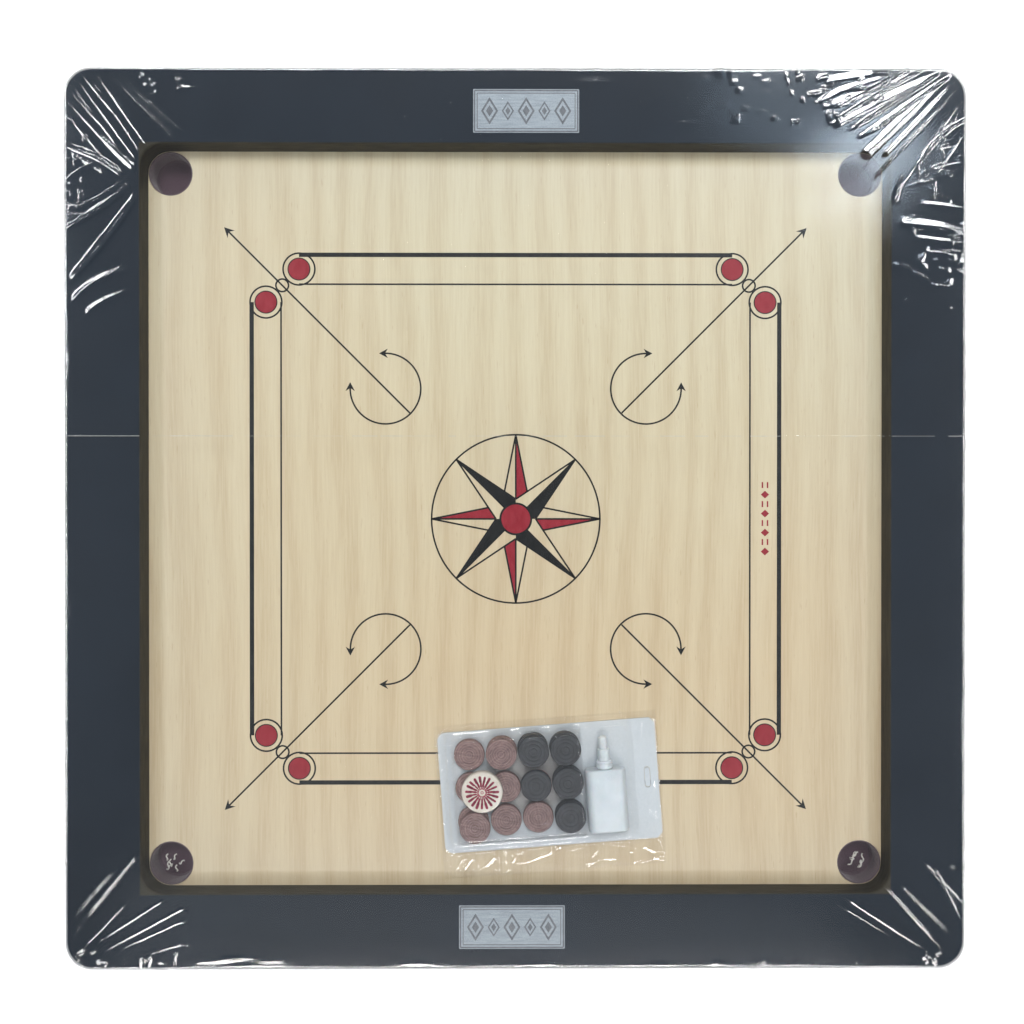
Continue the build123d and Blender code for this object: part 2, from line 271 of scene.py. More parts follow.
def label_foil(tree):
    """Grey-silver label stock with a fine slanting hatch and long streaks."""
    hatch = noise(tree, mapped(tree, (900, 900, 1), (0, 0, math.radians(35))), 1, 2)
    streak = noise(tree, mapped(tree, (60, 500, 1)), 1, 3)
    tone = blend(tree, (hatch, 0.5), (streak, 0.5))
    base = ramp(tree, tone, (0.32, (0.20, 0.235, 0.265)), (0.66, (0.34, 0.385, 0.425)))
    rough = spread(tree, streak, 0.34, 0.52)
    normal = bump(tree, hatch, 0.04 * MM, 0.5)
    return surface(tree, base, rough, normal, {"Metallic": 0.05, "Specular IOR Level": 0.1})


def coated_card(tree):
    """Grey-white coated card with faint dents and rubbed spots; painted shade makes it darker behind the
    coins.
    """
    place = mapped(tree)
    fibre = noise(tree, place, 700, 4, 0.6)
    dents = noise(tree, place, 36, 2, 0.5, 0.8)
    base = ramp(tree, fibre, (0.3, (0.48, 0.54, 0.585)), (0.7, (0.55, 0.60, 0.65)))
    scuff = levels(tree, noise(tree, mapped(tree, (60, 60, 60)), 1, 6, 0.75), 0.64, 0.72)
    base = lay_colour(tree, base, scuff, 0.4, (0.42, 0.43, 0.45))
    # painted shade: a soft dark patch on the card under the blister, standing in for the shade of the coins
    centre = PACK @ Vector((-20 * MM, 8 * MM, 0))
    apart = vector_calc(tree, "ADD", place, (-centre.x, -centre.y, 0))
    apart = vector_calc(tree, "MULTIPLY", apart, (1.0, 1.25, 0))
    painted_shade_behind_coins = levels(tree, length_of(tree, apart), 54 * MM, 36 * MM)
    base = lay_colour(tree, base, painted_shade_behind_coins, 0.75, (0.20, 0.18, 0.16))
    return surface(tree, base, spread(tree, dents, 0.42, 0.6), bump(tree, dents, 1.2 * MM, 0.35))


def turned_wood(tree, dark, mid, pale):
    """A stained wooden coin: concentric turning marks over end grain."""
    place = mapped(tree)
    radius = length_of(tree, vector_calc(tree, "MULTIPLY", place, (1, 1, 0)))
    wobble = calc(tree, "MULTIPLY", noise(tree, place, 120, 3), 1.2 * MM)
    turns = calc(tree, "SINE", calc(tree, "MULTIPLY", calc(tree, "ADD", radius, wobble), 2600.0))
    grain = noise(tree, mapped(tree, (500, 60, 400), (0, 0, 0.4)), 1, 2, 0.6)
    blotch = noise(tree, place, 170, 3, 0.6)
    tone = blend(tree, (grain, 0.55), (blotch, 0.35), (turns, 0.07))
    base = ramp(tree, tone, (0.28, dark), (0.46, mid), (0.66, pale))
    relief = calc(tree, "ADD", calc(tree, "MULTIPLY", turns, 0.5), grain)
    normal = bump(tree, relief, 0.05 * MM, 0.5)
    return surface(tree, base, spread(tree, grain, 0.40, 0.58), normal, {"Specular IOR Level": 0.2})


def cream_resin(tree):
    """The striker's polished cream resin, speckled like cast phenolic."""
    place = mapped(tree)
    speckle = noise(tree, place, 900, 3, 0.7)
    cloud = noise(tree, place, 90, 3)
    base = ramp(tree, cloud, (0.35, (0.74, 0.69, 0.60)), (0.65, (0.84, 0.80, 0.73)))
    base = lay_colour(tree, base, levels(tree, speckle, 0.62, 0.72), 0.35, (0.42, 0.36, 0.27))
    polish = {"Coat Weight": 0.5, "Coat Roughness": 0.08}
    return surface(tree, base, spread(tree, cloud, 0.16, 0.26), bump(tree, speckle, 0.02 * MM, 0.3), polish)


def white_plastic(tree, low, high, roughness):
    """Soft white moulded plastic that glows a little where it is thin."""
    flow = noise(tree, mapped(tree), 55, 3, 0.5, 0.5)
    texture = noise(tree, mapped(tree), 1400, 2)
    base = ramp(tree, flow, (0.3, low), (0.7, high))
    rough = spread(tree, flow, roughness - 0.05, roughness + 0.07)
    glow = {"Subsurface Weight": 0.12, "Subsurface Scale": 0.004}
    return surface(tree, base, rough, bump(tree, texture, 0.02 * MM, 0.3), glow)


def planed_wood(tree, dark, pale, along_x):
    """Plain wood with straight open grain."""
    scale = (6, 240, 120) if along_x else (240, 6, 120)
    grain = noise(tree, mapped(tree, scale), 1, 5, 0.6)
    broad = noise(tree, mapped(tree, tuple(0.16 * part for part in scale)), 1, 3)
    base = ramp(tree, blend(tree, (grain, 0.6), (broad, 0.4)), (0.32, dark), (0.66, pale))
    return surface(tree, base, spread(tree, grain, 0.58, 0.74), bump(tree, grain, 0.12 * MM, 0.6))


def dark_cloth(tree):
    """The deep brown felt that lines each pocket."""
    place = mapped(tree)
    weave_x, weave_y = (
        add(tree, "TexWave", {"Vector": place, "Scale": 420.0}, bands_direction=axis).outputs["Fac"]
        for axis in ("X", "Y")
    )
    weave = calc(tree, "MAXIMUM", weave_x, weave_y)
    lint = noise(tree, place, 800, 4, 0.7)
    base = ramp(tree, lint, (0.3, (0.085, 0.052, 0.070)), (0.7, (0.140, 0.095, 0.120)))
    normal = bump(tree, calc(tree, "ADD", weave, lint), 0.2 * MM, 0.6)
    return surface(tree, base, levels(tree, weave, 0.0, 1.0, 0.75, 0.95), normal, {"Sheen Weight": 0.3})


def twisted_cord(tree):
    """White cotton cord with a visible lay."""
    slant = mapped(tree, (1, 1, 1), (0.6, 0.5, 0.7))
    lay = add(tree, "TexWave", {"Vector": slant, "Scale": 620.0, "Distortion": 1.5}).outputs["Fac"]
    fuzz = noise(tree, mapped(tree), 1800, 3, 0.7)
    base = ramp(tree, lay, (0.2, (0.46, 0.45, 0.42)), (0.8, (0.74, 0.73, 0.70)))
    normal = bump(tree, calc(tree, "ADD", lay, fuzz), 0.15 * MM, 0.7)
    return surface(tree, base, spread(tree, fuzz, 0.7, 0.9), normal, {"Sheen Weight": 0.2})


def fine_powder(tree):
    """White powder with a fine grit."""
    grit = noise(tree, mapped(tree), 2500, 4, 0.7)
    base = ramp(tree, grit, (0.3, (0.78, 0.78, 0.76)), (0.7, (0.92, 0.92, 0.90)))
    return surface(tree, base, 0.95, bump(tree, grit, 0.2 * MM, 0.6))


def studio_floor(tree):
    """White paper that glows a little, so that it stays white round the board."""
    tone = noise(tree, mapped(tree), 3, 3)
    paper = ramp(tree, tone, (0.3, (0.93, 0.93, 0.94)), (0.7, (0.97, 0.97, 0.97)))
    matte = add(tree, "BsdfDiffuse", {"Color": paper}).outputs["BSDF"]
    glow = add(tree, "Emission", {"Color": colour((1, 1, 1)), "Strength": 0.55}).outputs["Emission"]
    return add(tree, "AddShader", {0: matte, 1: glow}).outputs[0]


BLACK_INK = material("black_ink", ink, (0.003, 0.004, 0.005), (0.010, 0.011, 0.012))
RED_INK = material("red_ink", ink, (0.25, 0.010, 0.022), (0.32, 0.022, 0.040))
CRIMSON_INK = material("crimson_ink", ink, (0.34, 0.012, 0.050), (0.48, 0.045, 0.110))
SEAM = material("seam_plastic", ink, (0.42, 0.43, 0.42), (0.60, 0.61, 0.60))
LABEL_INK = material("label_ink", ink, (0.09, 0.10, 0.12), (0.16, 0.17, 0.19))
PAINT = material("rail_paint", rail_paint)
BIRCH = material("birch_ply", birch_ply)
FILM = material("film_plastic", clear_plastic, (0.028, 0.70), 0.003, 200, 0.06 * MM)
BAG = material("bag_plastic", clear_plastic, (0.030, 0.30), 0.003, 200, 0.05 * MM)
BLISTER = material("blister_plastic", clear_plastic, (0.026, 0.45), 0.005, 120, 0.2 * MM)
FOIL = material("label_foil", label_foil)
CARD = material("coated_card", coated_card)
RESIN = material("cream_resin", cream_resin)
CLOTH = material("dark_cloth", dark_cloth)
CORD = material("twisted_cord", twisted_cord)
ZINC = material("zinc_plate", brushed_metal, (0.50, 0.49, 0.42), (0.72, 0.71, 0.64), 0.36, (300, 300, 300))
STEEL = material("ring_steel", brushed_metal, (0.42, 0.43, 0.45), (0.62, 0.63, 0.65), 0.32, (40, 40, 900))
COINS = {
    tint: material(tint + "_coin", turned_wood, *tones)
    for tint, tones in (
        ("brown", ((0.135, 0.074, 0.070), (0.250, 0.155, 0.148), (0.350, 0.245, 0.232))),
        ("black", ((0.012, 0.014, 0.018), (0.027, 0.031, 0.039), (0.056, 0.062, 0.076))),
        ("red", ((0.20, 0.012, 0.016), (0.34, 0.022, 0.030), (0.46, 0.050, 0.055))),
    )
}


# ---------------------------------------------------------------- mesh helpers
class Build:
    """Collects closed solids and strips, then makes one mesh piece of them."""

    def __init__(self):
        self.points = []
        self.faces = []

    def prism(self, outline, low, high):
        """A flat-sided slab on an anticlockwise outline."""
        start = len(self.points)
        count = len(outline)
        self.points += [(x, y, low) for x, y in outline]
        self.points += [(x, y, high) for x, y in outline]
        self.faces.append(tuple(start + count + i for i in range(count)))
        self.faces.append(tuple(start + i for i in reversed(range(count))))
        for i in range(count):
            j = (i + 1) % count
            self.faces.append((start + i, start + j, start + count + j, start + count + i))

    def bar(self, tail, tip, width, low, high):
        """A straight strip of one width."""
        tail, tip = Vector(tail), Vector(tip)
        across = (tip - tail).normalized().orthogonal() * (width / 2)
        corners = (tail - across, tip - across, tip + across, tail + across)
        self.prism(anticlockwise([tuple(corner) for corner in corners]), low, high)

    def band(self, centre, inner, outer, low, high, start=0.0, sweep=2 * math.pi, steps=72):
        """A flat ring, or an arc of one."""
        closed = sweep >= 2 * math.pi - 1e-6
        count = steps if closed else steps + 1
        first = len(self.points)
        for i in range(count):
            angle = start + sweep * i / steps
            c, s = math.cos(angle), math.sin(angle)
            for radius, z in ((inner, low), (outer, low), (outer, high), (inner, high)):
                self.points.append((centre[0] + radius * c, centre[1] + radius * s, z))
        for i in range(steps):
            a = first + 4 * i
            b = first + 4 * ((i + 1) % count)
            for k in range(4):
                n = (k + 1) % 4
                self.faces.append((a + k, b + k, b + n, a + n))
        if not closed:
            last = first + 4 * (count - 1)
            self.faces.append((first, first + 1, first + 2, first + 3))
            self.faces.append((last + 3, last + 2, last + 1, last))

    def disc(self, centre, radius, low, high, steps=72):
        angles = [2 * math.pi * i / steps for i in range(steps)]
        outline = [(centre[0] + radius * math.cos(a), centre[1] + radius * math.sin(a)) for a in angles]
        self.prism(outline, low, high)

    def tube(self, path, radius, sides=8):
        """A round cord along a list of Vectors, closed at both ends."""
        first = len(self.points)
        side = None
        for i, point in enumerate(path):
            ahead = path[min(i + 1, len(path) - 1)] - path[max(i - 1, 0)]
            ahead.normalize()
            side = ahead.orthogonal() if side is None else side - ahead * side.dot(ahead)
            side.normalize()
            other = ahead.cross(side)
            for k in range(sides):
                angle = 2 * math.pi * k / sides
                self.points.append(tuple(point + radius * (side * math.cos(angle) + other * math.sin(angle))))
        for i in range(len(path) - 1):
            for k in range(sides):
                n = (k + 1) % sides
                a, b = first + i * sides, first + (i + 1) * sides
                self.faces.append((a + k, a + n, b + n, b + k))
        self.faces.append(tuple(first + k for k in reversed(range(sides))))
        last = first + (len(path) - 1) * sides
        self.faces.append(tuple(last + k for k in range(sides)))

    def piece(self, name, body, slot, material, smooth=False):
        return make_piece(name, self.points, self.faces, body, material, smooth)


def anticlockwise(outline):
    """The outline, turned round if its signed area says that it runs clockwise."""
    pairs = zip(outline, outline[1:] + outline[:1])
    signed_area = sum(x0 * y1 - x1 * y0 for (x0, y0), (x1, y1) in pairs)
    return outline[::-1] if signed_area < 0 else outline


def make_piece(name, points, faces, body, material, smooth=False):
    mesh = bpy.data.meshes.new(name)
    mesh.from_pydata(points, [], faces)
    mesh.update()
    mesh.materials.append(material)
    if smooth:
        mesh.shade_smooth()
    piece = bpy.data.objects.new(name, mesh)
    bpy.context.scene.collection.objects.link(piece)
    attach(piece, body)
    return piece


def make_lathe(name, profile, body, material, place, steps=96):
    """Turns (radius, z) points round a piece's own upright axis; the ends lie on the axis."""
    points = [(0, 0, profile[0][1])]
    faces = []
    rings = profile[1:-1]
    for radius, z in rings:
        for i in range(steps):
            angle = 2 * math.pi * i / steps
            points.append((radius * math.cos(angle), radius * math.sin(angle), z))
    points.append((0, 0, profile[-1][1]))
    top = len(points) - 1
    for i in range(steps):
        j = (i + 1) % steps
        faces.append((0, 1 + j, 1 + i))
        for row in range(len(rings) - 1):
            a, b = 1 + row * steps, 1 + (row + 1) * steps
            faces.append((a + i, a + j, b + j, b + i))
        last = 1 + (len(rings) - 1) * steps
        faces.append((last + i, last + j, top))
    piece = make_piece(name, points, faces, body, material, smooth=True)
    piece.matrix_world = place
    return piece


def half_steps(values):
    """The grid lines with one more between each two."""
    halves = np.empty(2 * len(values) - 1)
    halves[0::2] = values
    halves[1::2] = (values[:-1] + values[1:]) / 2
    return halves


def grid_faces(wanted, finer):
    """Quads on a doubled grid; cells marked finer are split in four, with no gap beside them."""
    width = 2 * wanted.shape[1] + 1
    faces = []
    padded = np.pad(finer & wanted, 1)
    for j, i in zip(*np.nonzero(wanted)):
        at = 2 * j * width + 2 * i
        if finer[j, i]:
            for step in (0, 1, width, width + 1):
                faces.append((at + step, at + step + 1, at + step + width + 1, at + step + width))
            continue
        ring = [at]
        if padded[j, i + 1]:
            ring.append(at + 1)
        ring.append(at + 2)
        if padded[j + 1, i + 2]:
            ring.append(at + 2 + width)
        ring.append(at + 2 + 2 * width)
        if padded[j + 2, i + 1]:
            ring.append(at + 1 + 2 * width)
        ring.append(at + 2 * width)
        if padded[j + 1, i]:
            ring.append(at + width)
        faces.append(tuple(ring))
    return faces


def sheet_piece(name, xs, ys, shape, body, material, keep=None, refine=None):
    """A sheet over a grid of lines; shape gives x, y, z and the crinkle mask from the grid."""
    centre_u, centre_v = np.meshgrid((xs[:-1] + xs[1:]) / 2, (ys[:-1] + ys[1:]) / 2)
    wanted = keep(centre_u, centre_v) if keep else np.ones_like(centre_u, dtype=bool)
    finer = refine(centre_u, centre_v) if refine else np.zeros_like(wanted)
    faces = grid_faces(wanted, finer)
    used = np.unique(np.concatenate([np.array(face) for face in faces]))
    renumber = {old: new for new, old in enumerate(used.tolist())}
    faces = [tuple(renumber[corner] for corner in face) for face in faces]
    u, v = np.meshgrid(half_steps(xs), half_steps(ys))
    x, y, z, crinkle = shape(u.ravel()[used], v.ravel()[used])
    points = np.stack([x, y, z], axis=1)
    piece = make_piece(name, points.tolist(), faces, body, material, smooth=True)
    mask = piece.data.attributes.new("crinkle", "FLOAT", "POINT")
    mask.data.foreach_set("value", np.ascontiguousarray(crinkle, dtype=np.float32))
    return piece


def lines(*stretches):
    """Grid lines from (start, end, spacing) stretches that follow one another."""
    values = []
    for start, end, spacing in stretches:
        count = max(1, round((end - start) / spacing))
        values += [start + (end - start) * i / count for i in range(count)]
    values.append(stretches[-1][1])
    return np.array(values)


def smooth_step(value):
    value = np.clip(value, 0, 1)
    return value * value * (3 - 2 * value)


def beside_line(u, v, ends, reach):
    """For the points near a line: where they are, their share of its length, and how far left."""
    tail, tip = np.array(ends[:2], dtype=float), np.array(ends[2:], dtype=float)
    low, high = np.minimum(tail, tip) - reach, np.maximum(tail, tip) + reach
    near = (u > low[0]) & (u < high[0]) & (v > low[1]) & (v < high[1])
    along = tip - tail
    length = np.hypot(*along)
    along = along / length
    du, dv = u[near] - tail[0], v[near] - tail[1]
    return near, (du * along[0] + dv * along[1]) / length, dv * along[0] - du * along[1]


def raise_folds(u, v, folds):
    """Height of rounded folds at (u, v), in millimetres. Each runs from its tail to its tip, as
    (tail x and y, tip x and y, bow, width, height), and is thinner and lower at its ends."""
    lift = np.zeros_like(u)
    for *ends, bow, width, height in folds:
        near, t, left = beside_line(u, v, ends, 3 * width + abs(bow))
        across = left - bow * 4 * t * (1 - t)
        taper = smooth_step(t / 0.12) * smooth_step((1 - t) / 0.22)
        girth = width * (0.45 + 0.55 * np.sin(math.pi * np.clip(0.15 + 0.75 * t, 0, 1)))
        crest = height * taper * np.exp(-np.abs(across / girth) ** 1.5)
        lift[near] = np.maximum(lift[near], crest) + 0.25 * np.minimum(lift[near], crest)
    return lift


def raise_facets(u, v, facets):
    """Height of flat-sided folds, in millimetres. Each is (tail x and y, tip x and y, slope, lit,
    steep). Its lit side, on the left of the way to the tip or on the right where the slope is
    negative, is a flat strip of that slope and width, and its other side is steep. The slope grows
    by a third on the way to the tip, so that one lamp can light the whole strip."""
    lift = np.zeros_like(u)
    for *ends, slope, lit, steep in facets:
        near, t, left = beside_line(u, v, ends, lit + steep)
        t = np.clip(t, 0, 1)
        side = left * np.sign(slope)
        wedge = 0.4 + 0.6 * smooth_step(t / 0.5)
        taper = smooth_step(t / 0.15) * smooth_step((1 - t) / 0.07)
        height = abs(slope) * lit * wedge * (0.84 + 0.32 * t) * taper
        run = np.where(side > 0, lit, steep) * wedge
        lift[near] = np.maximum(lift[near], height * np.clip(1 - np.abs(side) / run, 0, 1))
    return lift


def soft_waves(u, v, seed, size, count):
    """A sum of a few plane waves, for slow undulation without a table."""
    dice = random.Random(seed)
    total = np.zeros_like(u)
    for _ in range(count):
        angle = dice.uniform(0, math.pi)
        length = size * dice.uniform(0.6, 1.6)
        phase = dice.uniform(0, 2 * math.pi)
        total += np.sin((u * math.cos(angle) + v * math.sin(angle)) * 2 * math.pi / length + phase)
    return total / count


# ---------------------------------------------------------------- shrink film
FILM_TOP = RAIL_TOP + 0.85 * MM
FILM_EDGE_R = 2 * MM
FILM_HALF = FILM_HIGH.x - 0.15 * MM
FILM_CORNER_R = 26.8 * MM
FILM_FOOT = FILM_LOW.z + 0.2 * MM
FILM_SAG = 0.9 * MM
SEAM_Y = 82 * MM
# centre (m), reach (m) and weight of each patch of fine creases
CRINKLED = (
    ((-0.432, 0.350), 0.040, 0.7), ((0.350, 0.428), 0.050, 1.0), ((0.425, 0.345), 0.035, 0.8),
    ((-0.425, -0.425), 0.035, 0.5), ((0.425, -0.425), 0.035, 0.5), ((-0.425, 0.330), 0.045, 0.7),
)


def rounded_square(u, v, half, radius):
    """Distance outside a square with round corners, and the way out of it."""
    qu, qv = np.abs(u) - (half - radius), np.abs(v) - (half - radius)
    outside = np.hypot(np.maximum(qu, 0), np.maximum(qv, 0))
    distance = outside + np.minimum(np.maximum(qu, qv), 0) - radius
    corner = (qu > 0) & (qv > 0)
    nu = np.where(corner, qu / np.maximum(outside, 1e-9), (qu >= qv).astype(float))
    nv = np.where(corner, qv / np.maximum(outside, 1e-9), (qu < qv).astype(float))
    return distance, nu * np.sign(u), nv * np.sign(v)


def fan(dice, count, outer, inner, bow, width, height):
    """Folds fanned between two lines: outer and inner each run between two points."""
    folds = []
    for i in range(count):
        share = (i + dice.uniform(-0.25, 0.25)) / max(1, count - 1)
        reach = share + dice.uniform(-0.04, 0.04)
        tail = [a + (b - a) * share for a, b in zip(*outer)]
        tip = [a + (b - a) * reach for a, b in zip(*inner)]
        shrink = dice.uniform(0.0, 0.18)
        tip = [b + (a - b) * shrink for a, b in zip(tail, tip)]
        girth = dice.uniform(*width)
        folds.append((*tail, *tip, dice.uniform(-bow, bow), girth, dice.uniform(*height)))
    return folds


def scatter(dice, *patches):
    """Short folds scattered over patches: each is (count, box, length, turn, width, height), and
    all but the count and the box, in millimetres and degrees, are ranges to draw from."""
    folds = []
    for count, (left, right, front, back), length, turn, width, height in patches:
        for _ in range(count):
            x, y = dice.uniform(left, right), dice.uniform(front, back)
            angle = math.radians(dice.uniform(*turn))
            half = dice.uniform(*length) / 2
            dx, dy = half * math.cos(angle), half * math.sin(angle)
            bow = dice.uniform(-0.2, 0.2) * half
            size = dice.uniform(*width), dice.uniform(*height)
            folds.append((x - dx, y - dy, x + dx, y + dy, bow, *size))
    return folds


def film_folds():
    """The film's rounded folds and crumples, in millimetres on the unfolded sheet."""
    dice = random.Random(7)
    # north-west corner: long folds on the west rail, and crumples among them
    folds = [
        (-447, 366, -384, 336, 6, 2.0, 1.6), (-443, 286, -377, 333, -4, 1.7, 1.5),
        (-447, 300, -376, 342, -6, 1.3, 1.2), (-438, 236, -373, 320, -3, 2.6, 1.8),
        (-432, 240, -374, 311, 3, 1.4, 1.2), (-443, 330, -404, 352, 3, 1.4, 1.1),
        (-437, 215, -371, 249, 6, 3.0, 0.7), (-424, 202, -372, 226, 4, 2.6, 0.5),
    ]
    folds += scatter(
        dice,
        (26, (-445, -420, 296, 392), (4, 12), (-10, 80), (1.0, 1.6), (0.5, 1.0)),
        (9, (-376, -320, 414, 438), (3, 9), (-80, 80), (0.8, 1.3), (0.4, 0.8)),
    )
    # north-east corner: the strongest fan, crumpled on both rails beside it
    folds += fan(dice, 4, ((394, 450), (430, 438)), ((292, 394), (326, 366)), 3, (1.3, 1.7), (1.1, 1.5))
    folds += [
        (448, 396, 392, 340, -8, 1.4, 1.2), (446, 280, 386, 286, -3, 1.2, 1.0),
        (436, 259, 404, 262, -2, 1.3, 0.8),
    ]
    folds += scatter(
        dice,
        (16, (276, 372, 410, 441), (6, 22), (-12, 45), (1.1, 2.0), (0.6, 1.1)),
        (9, (400, 443, 312, 384), (6, 18), (-100, 80), (1.1, 1.5), (0.6, 1.0)),
        (14, (276, 320, 384, 440), (4, 14), (50, 115), (1.1, 1.6), (0.5, 0.9)),
        (26, (160, 276, 384, 440), (3, 9), (40, 110), (0.8, 1.2), (0.3, 0.6)),
        (24, (380, 443, 232, 300), (4, 16), (-40, 40), (0.8, 1.4), (0.4, 0.9)),
        # south corners: a few crumples among the flat-sided folds
        (8, (-444, -404, -444, -424), (4, 12), (15, 50), (0.9, 1.3), (0.4, 0.8)),
        (8, (404, 438, -444, -428), (4, 12), (90, 150), (0.9, 1.3), (0.4, 0.8)),
        # scallops where the film turns over the south edge, and a few along the others
        (18, (-392, -234, -446, -430), (6, 20), (-20, 150), (1.0, 1.5), (0.4, 0.9)),
        (34, (-234, 392, -451, -434), (6, 18), (65, 115), (1.0, 1.5), (0.3, 0.7)),
        (24, (-300, 300, 436, 460), (8, 22), (70, 110), (1.2, 2.2), (0.3, 0.8)),
        (20, (440, 462, -350, 250), (8, 24), (-20, 20), (1.2, 2.4), (0.4, 0.9)),
        (20, (-462, -440, -350, 220), (8, 24), (-20, 20), (1.2, 2.4), (0.3, 0.8)),
        # light puckers on the flat rails
        (20, (-300, 150, 380, 440), (2, 6), (60, 120), (0.8, 1.1), (0.25, 0.5)),
        (24, (375, 438, -300, 230), (3, 9), (-60, 60), (0.8, 1.2), (0.25, 0.55)),
        (20, (-438, -375, -300, 200), (3, 9), (-60, 60), (0.8, 1.2), (0.25, 0.5)),
    )
    return folds


def film_facets():
    """The film's flat-sided folds, which the strip lights turn white, in the same millimetres."""
    return [
        # north-east corner: the broad one runs down onto the pocket
        (424, 436, 341, 356, -0.148, 5.5, 5.5), (432, 432, 361, 357, 0.150, 3.0, 2.0),
        (420, 441, 312, 386, -0.116, 7.0, 3.0), (410, 444, 300, 404, -0.100, 5.0, 3.0),
        (396, 445, 302, 430, -0.082, 6.0, 2.0), (372, 438, 316, 420, -0.088, 5.0, 2.0),
        (338, 430, 298, 410, -0.092, 5.0, 2.0), (420, 434, 335, 374, -0.130, 2.6, 2.6),
        (440, 428, 352, 336, 0.140, 2.0, 1.4), (444, 420, 372, 318, 0.150, 2.0, 1.4),
        (446, 408, 396, 356, 0.150, 1.8, 1.2), (396, 356, 397, 330, 0.250, 1.6, 1.2),
        (398, 332, 430, 312, 0.160, 2.0, 1.2), (447, 388, 414, 340, 0.150, 1.6, 1.2),
        (380, 342, 372, 312, 0.240, 4.0, 2.0), (412, 346, 442, 352, -0.150, 1.8, 1.2),
        (386, 328, 404, 334, -0.150, 2.2, 1.2), (418, 372, 422, 350, 0.230, 1.6, 1.2),
        # glints over the panel
        (272, 262, 288, 214, -0.240, 1.2, 0.8), (282, 240, 290, 222, 0.240, 1.0, 0.8),
        (353, 262, 356, 248, 0.240, 1.0, 0.8), (205, 300, 212, 280, -0.240, 0.8, 0.8),
        # east rail below it
        (446, 306, 400, 311, -0.150, 4.0, 2.0), (448, 284, 378, 292, -0.158, 7.0, 3.0),
        (448, 272, 394, 277, -0.162, 3.6, 2.0), (444, 252, 412, 255, -0.166, 3.6, 2.0),
        (430, 230, 410, 231, -0.172, 3.0, 2.0),
        # north-west corner: thin ones that run together at the corner, then the west rail
        (-402, 447, -320, 372, 0.138, 2.0, 1.2), (-408, 446, -332, 371, 0.140, 2.0, 1.2),
        (-416, 444, -362, 366, 0.155, 2.2, 1.2), (-422, 441, -368, 360, 0.155, 1.9, 1.0),
        (-427, 438, -394, 398, 0.150, 2.0, 1.2), (-432, 434, -372, 352, 0.155, 2.0, 1.2),
        (-438, 430, -376, 345, 0.160, 2.0, 1.2), (-441, 424, -392, 370, 0.150, 1.7, 1.0),
        (-445, 416, -381, 346, 0.160, 1.9, 1.2), (-447, 404, -388, 336, 0.160, 2.0, 1.2),
        (-412, 380, -374, 344, 0.160, 4.0, 4.0), (-436, 236, -371, 322, 0.124, 3.6, 1.6),
        (-446, 282, -371, 338, 0.140, 2.0, 1.4), (-446, 366, -404, 340, 0.150, 2.6, 2.0),
        # south-west and south-east corners: thin ones, lit from the south
        (-444, -418, -371, -329, -0.184, 1.8, 1.0), (-444, -401, -396, -346, -0.180, 1.6, 1.0),
        (-433, -429, -385, -379, -0.139, 1.7, 1.0), (-424, -424, -346, -374, -0.118, 1.8, 1.0),
        (-413, -429, -321, -379, -0.109, 2.1, 1.0), (-408, -432, -305, -385, -0.102, 1.7, 1.0),
        (-385, -435, -269, -401, -0.090, 1.6, 1.0), (451, -390, 404, -340, 0.182, 1.7, 1.0),
        (442, -401, 415, -346, 0.269, 1.5, 1.0), (437, -418, 381, -362, 0.151, 1.8, 1.0),
        (431, -435, 365, -362, 0.150, 2.1, 1.0), (420, -435, 326, -374, 0.114, 2.1, 1.0),
        (381, -418, 317, -379, 0.117, 1.6, 1.0),
    ]


def film_shape(u, v):
    """Lays the flat sheet over the frame, down its sides, and lifts the folds."""
    distance, nu, nv = rounded_square(u, v, FILM_HALF, FILM_CORNER_R)
    past = distance + FILM_EDGE_R
    angle = np.clip(past / FILM_EDGE_R, 0, math.pi / 2)
    turned = past > 0
    beyond = np.maximum(past - FILM_EDGE_R * math.pi / 2, 0)
    out = np.where(turned, FILM_EDGE_R * np.sin(angle), 0)
    drop = np.where(turned, FILM_EDGE_R * (1 - np.cos(angle)) + beyond, 0)
    drop = np.minimum(drop, FILM_TOP - FILM_FOOT)
    back = np.where(turned, past, 0)
    x = u - nu * back + nu * out
    y = v - nv * back + nv * out
    z = FILM_TOP - drop
    crinkle = np.zeros_like(u)
    for centre, reach, weight in CRINKLED:
        apart = np.hypot(u - centre[0], v - centre[1])
        crinkle = np.maximum(crinkle, weight * smooth_step(1.3 - apart / reach))
    inside = smooth_step((PLAY_HALF - np.maximum(np.abs(u), np.abs(v))) / (60 * MM))
    sag = FILM_SAG * inside + 0.12 * MM * soft_waves(u, v, 3, 0.11, 6)
    lift = raise_folds(u / MM, v / MM, film_folds()) * (1 - 0.75 * inside)
    lift = np.maximum(lift, raise_facets(u / MM, v / MM, film_facets())) * MM
    lift = lift + 0.05 * MM * crinkle * soft_waves(u, v, 5, 0.014, 7)
    x = x + nu * lift * np.sin(angle) * turned
    y = y + nv * lift * np.sin(angle) * turned
    z = z + lift * np.where(turned, np.cos(angle), 1.0) - np.where(turned, 0, sag)
    seam = np.exp(-(((v - SEAM_Y) / (0.5 * MM)) ** 2)) * (distance < 0)
    z = z + 0.2 * MM * seam
    return x, y, z, np.clip(0.02 + crinkle * smooth_step(lift / MM + 0.5), 0, 1)


